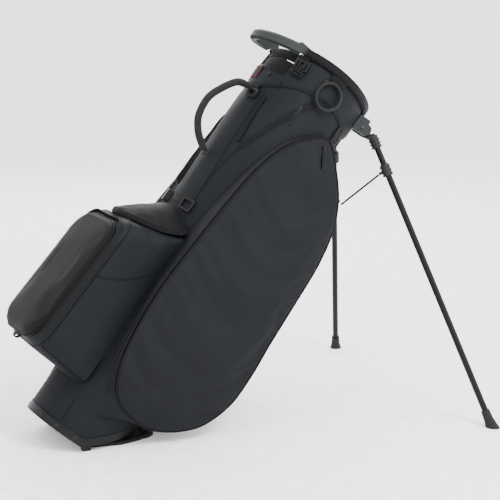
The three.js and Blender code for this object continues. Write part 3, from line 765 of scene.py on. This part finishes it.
def build_gusset(label, side, edge, rim):
    """The fabric wall between the side panel's edge and the shell."""
    rings, steps = [], 7
    centre = edge.mean(0)
    for i, (u, w) in enumerate(edge):
        spread = gusset_spread(u, w)
        start, end = rim[i], gusset_end(u, w, side)
        away = unit(np.array([u - centre[0], 0, w - centre[1]]))
        ring = []
        for k in range(steps):
            t = k / (steps - 1)
            bow = (3.4 - 2.4 * spread) * math.sin(math.pi * t) + 1.6 * noise.noise(Vector((u / 40, w / 40,
                    t * 2 + side)))
            ring.append(start * (1 - t) + end * t + away * bow * (1 if u < 60 else 0.3) * min(1,
                    4 * t * (1 - t) + 0.2))
        back = [p - away * 2.2 for p in ring[::-1]]
        rings.append(ring + back)
    count = 2 * steps
    points = np.array(rings).reshape(-1, 3)
    faces = []
    for i in range(len(rings)):
        a, b = i * count, ((i + 1) % len(rings)) * count
        for k in range(count):
            n = (k + 1) % count
            faces.append([a + k, a + n, b + n, b + k])
    build(f"side_pocket_{label}_gusset", points, faces, "shell", sharp=70)


# ---- ball pocket -----------------------------------------------------------------------

# Depth, half width, low and high edge, lower and upper corner radius.
BALL_SECTIONS = [(-188, 94, 102, 393, 45, 38), (-118, 91, 97, 413, 34, 24), (-79, 88.5, 93, 431, 31, 19)]
BALL_FRONT = (94, 112, 376, 52, 53)
STRAIGHT = (20, 12, 20, 12)
CORNER = 9


def pocket_outline(shape, inset=0.0):
    """A rounded outline, always with the same number of points, from the lower corner on the left side."""
    half, low, high, foot, head = shape
    r1, r2 = max(foot - inset, 8), max(head - inset, 8)
    y1, y2 = half - inset - r1, half - inset - r2
    z1, z2 = low + inset + r1, high - inset - r2
    arcs = []
    for cy, cz, r, start in ((y1, z1, r1, -90), (y2, z2, r2, 0), (-y2, z2, r2, 90), (-y1, z1, r1, 180)):
        turn = np.radians(start + np.linspace(0, 90, CORNER))
        arcs.append(np.column_stack([cy + r * np.cos(turn), cz + r * np.sin(turn)]))
    parts = []
    for i, steps in enumerate(STRAIGHT):
        start, end = arcs[i][-1], arcs[(i + 1) % 4][0]
        t = np.linspace(0, 1, steps + 2)[1:-1, None]
        parts += [arcs[i], start * (1 - t) + end * t]
    return np.vstack(parts)


def outline_normals(outline):
    along = np.roll(outline, -1, axis=0) - np.roll(outline, 1, axis=0)
    return unit(np.column_stack([0 * along[:, 0], along[:, 1], -along[:, 0]]))


def ball_front(w):
    return -215 + 15 * (np.asarray(w, float) - 96) / 290


def on_lid(outline, out):
    return np.column_stack([ball_front(outline[:, 1]) - out, outline])


def build_ball_lid():
    rings = [on_lid(pocket_outline(BALL_FRONT, inset), out)
             for out, inset in ((0.4, 1.0), (4.5, 0.8), (8, 2.2), (10, 6.5))]
    inner = pocket_outline(BALL_FRONT, 12.5)
    flat, faces = fill_outline(inner, 8.0)
    reach = np.min(np.linalg.norm(flat[:, None] - inner[None], axis=2), axis=1)
    crown = 11 + 2.5 * np.clip(reach / 50, 0, 1) - 4.0 * smooth_step(flat[:, 1], 190, 250) * (
        1 - smooth_step(flat[:, 1], 270, 340)) * smooth_step(reach, 6, 40)
    crown = crown + 4.0 * (1 - smooth_step(flat[:, 1], 120, 180))
    count = len(inner)
    seam = (len(rings) - 1) * count
    wall = np.array(rings).reshape(-1, 3)
    centre = on_lid(flat, 0.0)
    centre[:, 0] -= crown
    points = np.vstack([wall, centre])
    start = len(wall)
    whole = grid_faces(len(rings), count, wrap=True)
    whole += [[seam + k, seam + (k + 1) % count, start + (k + 1) % count, start + k] for k in range(count)]
    whole += [[start + i for i in f] for f in faces]
    work = build("lid_work", points, whole, "panel", None)
    before = np.array([v.co for v in work.data.vertices])
    drape(work, range(2 * count), 0.5, 0.0, gravity=0.0)
    cap_moves(work, before, 4.5)
    settled = to_bag([v.co for v in work.data.vertices])
    lid_faces = [list(f.vertices) for f in work.data.polygons]
    bpy.data.objects.remove(work)
    normals = vertex_normals(settled, lid_faces)
    if normals[:, 0].sum() > 0:
        normals, lid_faces = -normals, [f[::-1] for f in lid_faces]
    lid = build("ball_pocket_cover", *thicken(settled, lid_faces, normals, 2.0), "dark", "ball_pocket_lid",
                sharp=75)
    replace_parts(lid, "ball_pocket_lid")
    edge = pocket_outline(BALL_FRONT, 0.0)
    out = outline_normals(edge)
    build("ball_cover_piping", *sweep(on_lid(edge, 1.6), out, round_section(1.7, 10, 0.6), closed=True),
          "piping",
          "ball_pocket_lid")
    hem = on_lid(pocket_outline(BALL_FRONT, 9.0), 11.2)
    build("ball_cover_stitching", *stitches(hem, np.tile([-1.0, 0, 0], (count, 1))), "stitch",
          "ball_pocket_lid")


def ball_section(depths):
    """The pocket's wall: for each outline point, where it stands at a share of the way to the back."""
    outlines = [pocket_outline(BALL_FRONT)] + [pocket_outline(s[1:]) for s in BALL_SECTIONS]
    front = ball_front(outlines[0][:, 1]) + 0.6
    rows = []
    for t in depths:
        row = []
        for k in range(len(front)):
            at = [front[k]] + [s[0] for s in BALL_SECTIONS]
            back_y, back_w = outlines[-1][k]
            r = float(radius_at(back_w)) + 1.5
            last = min(-math.sqrt(max(r * r - min(abs(back_y), r) ** 2, 0)), -79)
            u = front[k] + (last - front[k]) * t
            row.append((u, np.interp(u, at, [o[k][0] for o in outlines]),
                        np.interp(u, at, [o[k][1] for o in outlines])))
        rows.append(row)
    return np.array(rows)


def build_ball_walls():
    edge = pocket_outline(BALL_FRONT)
    out = outline_normals(edge)
    steps = 34
    grid = ball_section(np.linspace(0, 1, steps))
    count = len(edge)
    for i in range(steps):
        t = i / (steps - 1)
        hold = math.sin(math.pi * min(1.0, 0.04 + t))
        for k in range(count):
            u, y, w = grid[i, k]
            side = abs(out[k, 1])
            puff = 3.0 * side * math.sin(math.pi * t)
            drape_line = (w - 330 + (u + 150) * 0.45) / 22
            crease = 3.4 * noise.noise(Vector((drape_line * 2.2, u / 60, np.sign(y) * 3))) * smooth_step(w,
                    300, 360)
            low = 3.4 * noise.noise(Vector((u / 30 + w / 44, w / 34, np.sign(y) * 5))) * (1 - smooth_step(w,
                    150, 215))
            broad = 2.2 * noise.noise(Vector((u / 52, w / 70, np.sign(y) * 2)))
            grid[i, k] += out[k] * (puff + (crease + low + broad) * side * hold)
    outer = grid.reshape(-1, 3)
    inner = (grid - out[None] * 2.6).reshape(-1, 3)
    faces = grid_faces(steps, count, wrap=True)
    shift = steps * count
    faces += [[i + shift for i in f][::-1] for f in faces]
    last = (steps - 1) * count
    for k in range(count):
        n = (k + 1) % count
        faces.append([k, n, shift + n, shift + k])
        faces.append([last + n, last + k, shift + last + k, shift + last + n])
    walls = build("ball_pocket_walls", np.vstack([outer, inner]), faces, "shell", sharp=70)
    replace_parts(walls, "ball_pocket")
    zip_path = grid[2] + out * 0.3
    start = int(np.argmin(edge[:, 1] + np.abs(edge[:, 0]) * 0.01)) + 8
    order = [(start + k) % count for k in range(count - 16)]
    zip_run("ball_zip", zip_path[order], out[order], width=15, teeth=7.5)
    for row, size, label in ((0, 1.5, "front"), (5, 1.3, "rear")):
        build(f"ball_zip_piping_{label}", *sweep(grid[row] + out * 0.5, out, round_section(size, 8),
                                                 closed=True),
              "piping")
    for sign, label in ((-1, "right"), (1, "left")):
        surface = BVHTree.FromPolygons([Vector(p) for p in outer], grid_faces(steps, count, wrap=True))
        route = curve([(-196, 271), (-165, 283), (-137, 299), (-110, 322), (-84, 350)], 40)
        spots = []
        for u, w in route:
            hit = surface.ray_cast(Vector((u, sign * 160, w)), Vector((0, -sign, 0)))[0]
            spots.append(hit if hit is not None else (u, sign * 94, w))
        spots = np.array(spots)
        normals = np.tile([0.0, sign, 0.0], (len(spots), 1))
        build(f"ball_side_seam_{label}", *sweep(spots + normals * 0.2, normals, round_section(0.9, 8)),
              "piping")
        build(f"ball_side_stitch_{label}", *stitches(spots + [0, 0, 3.2] + normals * 0.2, normals), "stitch")
        corner = 4 if sign > 0 else len(edge) - STRAIGHT[3] - 5
        seam = grid[5:, corner] + out[corner] * 0.3
        build(f"ball_lower_seam_{label}", *sweep(seam, np.tile(out[corner], (len(seam), 1)),
                                                 round_section(1.1, 8)),
              "piping")
    tab = curve([(-209, -22, 110), (-212, -22, 102), (-217, -22, 100), (-220, -22, 104), (-216, -22, 110)],
                20)
    build("ball_pocket_tab", *sweep(tab, np.tile([0.0, 1.0, 0.0], (20, 1)), strap_section(1.6, 12)),
          "webbing")


# ---- accessory pocket ------------------------------------------------------------------

# Depth, half width, zip height and ridge height, front to back.
ACCESSORY = [(-191, 7, 399.5, 409), (-184, 30, 399.5, 414), (-174, 46, 401, 423), (-153, 66, 406, 440),
             (-118, 80, 416, 468), (-104, 83.5, 423, 474), (-87, 86, 431, 474), (-79, 86, 434, 473)]


def accessory_edge(u, raised=0.0):
    at = [row[0] for row in ACCESSORY]
    return np.interp(u, at, [row[1] for row in ACCESSORY]), np.interp(u, at,
                                                                      [row[2] for row in ACCESSORY]) + raised


def build_accessory_pocket():
    at = [row[0] for row in ACCESSORY]
    depths = np.concatenate([np.linspace(-191, -184, 5), np.linspace(-182, -79, 32)])
    across = np.cos(np.linspace(0, math.pi, 33))
    rings = []
    for u in depths:
        half, base = accessory_edge(u)
        ridge = float(np.interp(u, at, [row[3] for row in ACCESSORY]))
        lip = min(7.0, (ridge - base) * 0.6)
        sunk = base - 3.5 * float(smooth_step(-150 - u, 0, 25))
        ring = [(u, half, sunk), (u, half + 0.6, base + lip * 0.5)]
        for c in across:
            bump = 1.7 * noise.noise(Vector((u / 26, c * 2.4, 1.3))) + 0.8 * noise.noise(Vector((u / 12,
                    c * 6, 4)))
            arch = 1 - c * c
            ring.append((u, half * c, base + lip + (ridge - base - lip) * arch + bump * min(1, arch * 3)))
        ring += [(u, -half - 0.6, base + lip * 0.5), (u, -half, sunk)]
        fixed = []
        for x, y, w in ring:
            far = math.hypot(x, y)
            r = float(radius_at(w)) + 1.2
            fixed.append((x * r / far, y * r / far, w) if far < r and x > -r else (x, y, w))
        rings.append(fixed)
    count = len(rings[0])
    faces = grid_faces(len(rings), count, wrap=True)
    faces.append(list(range(count))[::-1])
    faces.append([(len(rings) - 1) * count + k for k in range(count)])
    pocket = build("accessory_pocket_shell", np.array(rings).reshape(-1, 3), faces, "dark", sharp=55)
    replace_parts(pocket, "accessory_pocket")
    run = np.linspace(-88, -190.5, 44)
    half, low = accessory_edge(run, 0.0)
    right = np.column_stack([run, -half, low])
    left = right[::-1] * [1, -1, 1]
    path = resample(np.vstack([right, left]), 140)
    normals = unit((path - [-110, 0, 0]) * [1, 1, 0])
    zip_run("accessory_zip", path + [0, 0, 3.4] + normals * 0.9, normals, width=9, teeth=3.2)
    for raised, size, label in ((8.6, 1.4, "upper"), (-0.8, 1.4, "lower")):
        build(f"accessory_piping_{label}", *sweep(path + [0, 0, raised] +
                                                  normals * (0.6 if raised < 0 else -0.6), normals,
                                                  round_section(size, 8)), "piping")


# ---- webbing, handles, strap pads and small hardware ----------------------------------

def patch(name, angle, w, width, tall, lift=0.5, thick=2.4, paint="webbing", bow=0.0, body="bag", bars=True):
    """A flat strap end or patch that follows the shell's curve, with stitched bars at its ends."""
    cols, rows = 13, 9
    r = float(radius_at(w)) + lift
    turn = math.degrees(width / r)
    edge = []
    for i in range(rows):
        for k in range(cols):
            s, t = k / (cols - 1) - 0.5, i / (rows - 1) - 0.5
            out = lift + thick + bow * (1 - 4 * t * t) + 0.25 * noise.noise(Vector((s * 9, t * 7, angle)))
            out -= 0.5 * (1 if k in (0, cols - 1) or i in (0, rows - 1) else 0)
            edge.append(on_shell(angle + s * turn, w + t * tall, out)[0])
    edge = np.array(edge)
    under = np.array([on_shell(angle + (k / (cols - 1) - 0.5) * turn, w + (i / (rows - 1) - 0.5) * tall,
                               lift)[0]
                      for i in range(rows) for k in range(cols)])
    faces = grid_faces(rows, cols)
    whole = closed_faces(faces, rows * cols)
    made = build(name, np.vstack([edge, under]), whole, paint, body, sharp=50)
    if bars:
        rows_made = []
        for t in (-0.4, 0.4):
            line = [(angle + s * turn, w + t * tall) for s in np.linspace(-0.42, 0.42, 12)]
            spots = np.array([on_shell(a, h, lift + thick + bow * 0.4)[0] for a, h in line])
            normals = np.array([on_shell(a, h)[1] for a, h in line])
            rows_made.append(stitches(spots, normals, pitch=2.6, length=1.9, r=0.35))
        build(f"{name}_stitching", *join_parts(rows_made), "stitch", body)
    return made


def build_webbing():
    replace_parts(patch("ring_tab_webbing", 83, 844, 34, 12, 3.9, 2.6), "ring_tab")
    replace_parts(patch("loop_tab_webbing", 11, 755.2, 20, 7, 3.9, 2.0), "loop_tab")
    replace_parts(patch("buckle_strap", 42, 844, 22, 8, 4.3, 2.4), "buckle_webbing")
    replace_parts(patch("spine_strap", 6, 490, 38, 18, 0.8, 1.9), "spine_webbing")
    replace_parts(patch("handle_foot", 0, 596, 34, 13, 0.6, 2.4), "handle_anchor")
    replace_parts(patch("strap_end_front", -32, 508, 15, 18, 0.6, 2.6), "strap_web_front")
    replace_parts(patch("strap_end_rear", 190, 514, 14, 88, 0.6, 2.6), "strap_web_rear")
    patch("handle_head", 0, 751, 32, 12, 3.2, 2.0)
    label = patch("blank_label", -6, 785, 30, 26, 3.7, 1.4, "dark", bars=False)
    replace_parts(label, "label_patch")
    border = []
    turn = math.degrees(14.2 / float(radius_at(785)))
    for s, t in ((-1, -1), (1, -1), (1, 1), (-1, 1), (-1, -1)):
        border.append((-6 + s * turn, 785 + t * 12.2))
    line = resample(np.array(border), 80, closed=True)
    spots = np.array([on_shell(a, w, 5.1)[0] for a, w in line])
    normals = np.array([on_shell(a, w)[1] for a, w in line])
    build("label_border", *sweep(spots, normals, strap_section(0.9, 0.5, roll=0.2), closed=True), "red")


def build_grab_handle():
    line = curve([(-111, 0, 750), (-137, 0, 742), (-157, 0, 713), (-169, 0, 680), (-164, 0, 643),
                  (-147, 0, 619),
                  (-126, 0, 604), (-112, 0, 598)], 90)
    normals = np.tile([0.0, 1.0, 0.0], (len(line), 1))
    side, up = frames(line, normals)
    t = np.linspace(0, 1, len(line))
    size = 7.3 - 2.2 * np.clip(1 - t / 0.06, 0, 1) - 2.2 * np.clip((t - 0.94) / 0.06, 0, 1)
    rings = []
    turn = np.arange(20) / 20 * 2 * math.pi
    for i in range(len(line)):
        r = size[i] * (1 + 0.03 * noise.noise(Vector((i / 3.0, 0, 2))))
        rings.append([line[i] + side[i] * r * math.cos(a) + up[i] * r * 1.06 * math.sin(a) for a in turn])
    faces = grid_faces(len(rings), 20, wrap=True)
    faces += [list(range(20))[::-1], [(len(rings) - 1) * 20 + k for k in range(20)]]
    handle = build("grab_handle_webbing", np.array(rings).reshape(-1, 3), faces, "handle", sharp=60)
    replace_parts(handle, "grab_handle")
    for sign, label in ((-1, "right"), (1, "left")):
        seam = line[4:-4] + up[4:-4] * sign * 7.3
        build(f"grab_handle_stitch_{label}", *stitches(seam, up[4:-4] * sign), "stitch")


def strap_pad(name, low_angle, high_angle, low, high, thick, paint, replaced, border, twist=0.0):
    cols, rows = 15, 44
    top, base = [], []
    for i in range(rows):
        t = i / (rows - 1)
        w = low + (high - low) * t
        for k in range(cols):
            s = k / (cols - 1)
            narrow = 1 - 0.35 * (1 - math.sin(math.pi * min(1, t * 5) / 2)) - 0.25 * (
                1 - math.sin(math.pi * min(1, (1 - t) * 7) / 2))
            angle = twist * t + (low_angle + high_angle) / 2 + (s - 0.5) * (high_angle - low_angle) * narrow
            round_off = min(1.0, (4 * s * (1 - s)) ** 0.45 + 0.12) * min(1.0,
                    (math.sin(math.pi * t) * 6) ** 0.5 + 0.15)
            quilt = 0.9 * abs(math.sin(math.pi * w / 46)) ** 0.5
            bump = 0.7 * noise.noise(Vector((w / 30, s * 3, low_angle)))
            top.append(on_shell(angle, w, 1 + (thick - 1.2 + quilt + bump) * round_off)[0])
            base.append(on_shell(angle, w, 0.8)[0])
    faces = grid_faces(rows, cols)
    whole = closed_faces(faces, rows * cols)
    pad = build(name, np.array(top + base), whole, paint, sharp=60)
    soften(pad, 1)
    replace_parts(pad, replaced)
    grid = np.array(top).reshape(rows, cols, 3)
    for column, label in ((1, "near"), (cols - 2, "far")):
        line = grid[2:-2, column]
        normals = unit(line * [1, 1, 0])
        build(f"{name}_binding_{label}", *sweep(line, normals, round_section(border, 8)), "piping")
        build(f"{name}_stitch_{label}", *stitches(grid[3:-3, 2 if column == 1 else cols - 3] +
                                                  normals[1:-1] * 0.4,
                                                  normals[1:-1]), "stitch")


def build_pull(name, body, origin, across, down, out, long=36.0, width=8.4):
    """A rubber puller: two cords side by side with moulded rungs, and its slider above."""
    origin, across, down, out = (np.asarray(v, float) for v in (origin, across, down, out))
    parts = []
    normals = np.tile(out, (12, 1))
    for sign in (-1, 1):
        line = np.array([origin + across * sign * width * 0.27 + down * t + out * 1.5
                         for t in np.linspace(1.0, long - 1, 12)])
        parts.append(sweep(line, normals, round_section(1.35, 8)))
    rungs = [origin + down * t + out * 1.5 for t in np.arange(6, long - 1, 4.4)]
    parts.append(boxes(rungs, [across] * len(rungs), [out] * len(rungs), (width, 2.6, 2.9)))
    ends = [origin + down * 2.2 + out * 1.5, origin + down * (long - 2.2) + out * 1.5]
    parts.append(boxes(ends, [across] * 2, [out] * 2, (width * 0.8, 4.2, 2.8)))
    puller = build(f"{name}_puller", *join_parts(parts), "dark_moulded", body)
    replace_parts(puller, name)
    slider = boxes([origin - down * 3.4 + out * 0.9], [across], [out], (6.4, 8.0, 2.6))
    build(f"{name}_slider", *slider, "dark_moulded")


def build_pulls():
    for label, sign in (("right", 1), ("left", -1)):
        spot, out = on_shell(67 * sign, 757, 1.2)
        a = math.radians(67 * sign)
        build_pull(f"upper_pull_{label}", f"upper_pull_{label}", spot, (math.sin(a), -math.cos(a), 0),
                   (0, 0, -1), out)
        tilt, swing = math.radians(7), math.radians(31)
        origin = np.array([38, -sign * 126.4, 722])
        down = np.array([math.sin(swing), -sign * math.cos(swing) * math.sin(tilt),
                         -math.cos(swing) * math.cos(tilt)])
        face = np.array([0, -sign * math.cos(tilt), math.sin(tilt)])
        build_pull(f"side_pull_{label}", f"side_pull_{label}", origin - face * 1.5,
                   unit(np.cross(down, face)), down,
                   face)


def build_buckle():
    """A side-release buckle: an open socket, and a plug with two prongs and a strap bar."""
    spot, out = on_shell(45, 828, 4.2)
    a = math.radians(45)
    across = np.array([math.sin(a), -math.cos(a), 0])
    up = np.array([0.0, 0, 1])

    def block(x, z, lift, size):
        return boxes([spot + across * x + up * z + out * lift], [across], [out], size)

    socket = [block(0, 8.3, 4.6, (30, 5.4, 9)), block(-12.6, -1, 4.6, (4.6, 17, 8.6)),
              block(12.6, -1, 4.6, (4.6, 17, 8.6)),
              block(0, 0, 1.3, (22, 20, 2)), block(-5.5, 1.5, 7.8, (4.5, 13, 1.8)),
              block(5.5, 1.5, 7.8, (4.5, 13, 1.8)),
              block(0, -8.8, 7.4, (22, 2.8, 2.4))]
    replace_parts(build("buckle_socket_frame", *join_parts(socket), "dark_moulded"), "buckle_socket")
    plug = [block(0, -13.6, 4.5, (25, 3.4, 7)), block(0, -19.4, 4.5, (26, 3.0, 6)),
            block(-11.4, -16.4, 4.5, (3.2, 8.6, 6)),
            block(11.4, -16.4, 4.5, (3.2, 8.6, 6)), block(0, -5, 4.5, (4.2, 18, 2.6)),
            block(-7.2, -4.5, 4.5, (3.2, 18, 3.4)),
            block(7.2, -4.5, 4.5, (3.2, 18, 3.4))]
    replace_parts(build("buckle_plug_prongs", *join_parts(plug), "dark_moulded", "buckle_plug"), "buckle_plug")
    patch("buckle_tail", 45, 810.4, 21, 11, 7.2, 1.6, bars=False, body="buckle_plug")


def build_throat_band():
    """The padded webbing that backs the lift grip across the front of the mouth."""
    for low, high, reach, label, paint in ((804, 829, -8.0, "lower", "webbing"),
                                           (829.6, 850, -8.4, "upper", "dark")):
        angles = np.arange(-56, 56.1, 4.0)
        rings = []
        for a in angles:
            end = min(1.0, (58 - abs(a)) / 6)
            top = low + (high - low) * (0.85 + 0.15 * end)
            wob = 0.8 * noise.noise(Vector((a / 14, low / 9, 3)))
            rings.append([on_shell(a, h, reach + o + wob)[0] for h, o in (
                (low, 0), (low, 2.2), ((low + top) / 2, 3.4), (top, 2.2), (top, 0),
                        ((low + top) / 2, -1.2))])
        faces = grid_faces(len(rings), 6, wrap=True)
        faces += [list(range(6))[::-1], [(len(rings) - 1) * 6 + k for k in range(6)]]
        band = build(f"throat_band_{label}", np.array(rings).reshape(-1, 3), faces, paint, sharp=60)
        soften(band, 1)
        line = np.array([on_shell(a, high - 3.0, reach + 3.4)[0] for a in np.arange(-50, 50.1, 2.0)])
        normals = np.array([on_shell(a, high)[1] for a in np.arange(-50, 50.1, 2.0)])
        build(f"throat_stitch_{label}", *stitches(line, normals), "stitch")


def build_grip_texture():
    """Raised dots on the lift grip's under edge, where the fingers go."""
    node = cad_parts["lift_grip"]
    bpy.context.view_layer.update()
    points = to_bag([node.matrix_world @ v.co for v in node.data.vertices])
    tree = BVHTree.FromPolygons([Vector(p) for p in points], [list(f.vertices) for f in node.data.polygons])
    spots, outs = [], []
    for turn in np.arange(-66, 67, 3.6):
        t = math.radians(turn)
        for r, h in ((7.6, -10.5), (5.2, -13.4), (2.0, -15.2)):
            u = -96 - 62 * math.cos(t) - math.cos(t) * r
            v = 68 * math.sin(t) + math.sin(t) * r
            hit, normal, _, _ = tree.find_nearest(Vector((u, v, 860 - 14 * math.cos(t) + h)))
            if normal.z < -0.1:
                spots.append(tuple(hit + normal * 0.3))
                outs.append(unit(np.array(normal)))
    along = [unit(np.cross(o, (0, 0.2, 1))) for o in outs]
    build("lift_grip_dots", *boxes(np.array(spots), along, outs, (2.3, 2.3, 1.2)), "rubber")


def build_rear_details():
    """The hanging straps and the knob on the leg side of the collar."""
    for sign, label in ((-1, "right"), (1, "left")):
        for k, (angle, low, wide) in enumerate(((118, 706, 9), (127, 722, 7))):
            line = [(sign * -1 * angle, w) for w in np.linspace(782, low, 14)]
            spots = np.array([on_shell(a, w, 2.2 + 1.6 * math.sin((782 - w) / 22))[0] for a, w in line])
            normals = np.array([on_shell(a, w)[1] for a, w in line])
            build(f"hanging_strap_{label}_{k + 1}", *sweep(spots, normals, strap_section(wide, 1.5)),
                  "webbing")
    foot, out = on_shell(-160, 754, 0.4)
    profile = [(0, 4.2), (2, 4.6), (22, 4.2), (25, 6.2), (30, 6.6), (33, 5.6), (34.4, 2.5)]
    side = unit(np.cross(out, (0, 0, 1)))
    rings = [[foot + out * at + side * r * math.cos(a) + np.array([0, 0, 1]) * r * math.sin(a)
              for a in np.arange(16) / 16 * 2 * math.pi] for at, r in profile]
    faces = grid_faces(len(rings), 16, wrap=True)
    faces += [list(range(16))[::-1], [(len(rings) - 1) * 16 + k for k in range(16)]]
    build("cord_knob", np.array(rings).reshape(-1, 3), faces, "moulded", sharp=50)


def build_dividers():
    """Fabric sheets that hang down the bag from the divided mouth and split it into four bays."""
    for axis, label in ((0, "lengthways"), (1, "crossways")):
        cols, rows = 34, 90
        rows_at = np.linspace(86, 738, rows)
        front, back = [], []
        for w in rows_at:
            for s in np.linspace(-1, 1, cols):
                reach = (float(radius_at(w)) - 12) * s
                low = 2.7 + reach * math.sin(LEAN) if axis == 0 else 0
                ww = w + max(0.0, (74 + low * 0.95 - w)) * (1 - smooth_step(w, 86, 320)) if axis == 0 else w
                sway = 2.2 * noise.noise(Vector((s * 2.2, w / 90, axis * 7))) * (1 - abs(s) ** 4)
                if axis == 1 and abs(s) < 0.06:
                    sway *= 0.2
                spot = np.array([reach, sway, ww]) if axis == 0 else np.array([sway, reach, ww])
                step = np.array([0, 0.6, 0]) if axis == 0 else np.array([0.6, 0, 0])
                front.append(spot + step)
                back.append(spot - step)
        faces = grid_faces(rows, cols)
        whole = closed_faces(faces, rows * cols)
        sheet = build(f"divider_sheet_{label}", np.array(front + back), whole, "lining", sharp=60)
        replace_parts(sheet, "divider_sheets")


def build_base_trim():
    """A raised rib, panel seams and rivets round the moulded base band."""
    angles = np.arange(-88, 88.1, 2.0)
    for w, label in ((15.2, "upper"), (2.0, "lower")):
        line = np.array([on_shell(a, w, 1.6)[0] for a in angles])
        normals = np.array([on_shell(a, w)[1] for a in angles])
        build(f"base_rib_{label}", *sweep(line, normals, round_section(1.1, 8)), "dark_moulded")
    spots, outs, along = [], [], []
    for a in (-70, -46, 46, 70, 22, -22):
        spot, out = on_shell(a, 8.6, 1.9)
        spots.append(spot)
        outs.append(out)
        along.append((0, 0, 1))
    build("base_rivets", *boxes(spots, [np.array(a, float) for a in along], outs, (5.0, 5.0, 1.4)),
          "moulded")
    for sign, label in ((1, "right"), (-1, "left")):
        spot, out = on_shell(sign * 58, 8.4, 2.2)
        build(f"base_panel_{label}", *boxes([spot], [np.array([0.0, 0, 1])], [out], (9.0, 13.0, 2.2)),
              "dark_moulded")


LOOKS = {"leg_tube": "gloss", "leg_foot": "rubber", "toe_bumper": "rubber", "strut": "steel",
         "push_rod": "steel",
         "leg_pin": "steel", "divider_top": "knit", "lift_grip": "grip", "base_cup": "dark_moulded",
         "foot_plate": "dark_moulded", "gear_loop": "dark_moulded", "spine": "dark_moulded",
         "towel_ring": "dark_moulded", "rivet": "dark_moulded"}


def finish_cad_nodes():
    for name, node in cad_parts.items():
        paint = next((look for key, look in LOOKS.items() if key in name), "moulded")
        node.data.materials.clear()
        node.data.materials.append(PAINT[paint][0])


def main():
    mix_materials()
    add_camera()
    add_studio()
    tree = build_shell()
    build_shell_trim(tree)
    build_rim()
    for label, side in (("right", -1), ("left", 1)):
        build_side_pocket(label, side)
    build_ball_lid()
    build_ball_walls()
    build_accessory_pocket()
    build_webbing()
    build_grab_handle()
    strap_pad("strap_pad_long", -54, -20, 518, 700, 13, "mesh", "strap_pad_front", 1.5, -20)
    strap_pad("hip_pad", 176, 204, 560, 740, 10, "knit", "strap_pad_rear", 1.3)
    build_pulls()
    build_grip_texture()
    build_buckle()
    build_throat_band()
    build_rear_details()
    build_dividers()
    build_base_trim()
    finish_cad_nodes()


main()
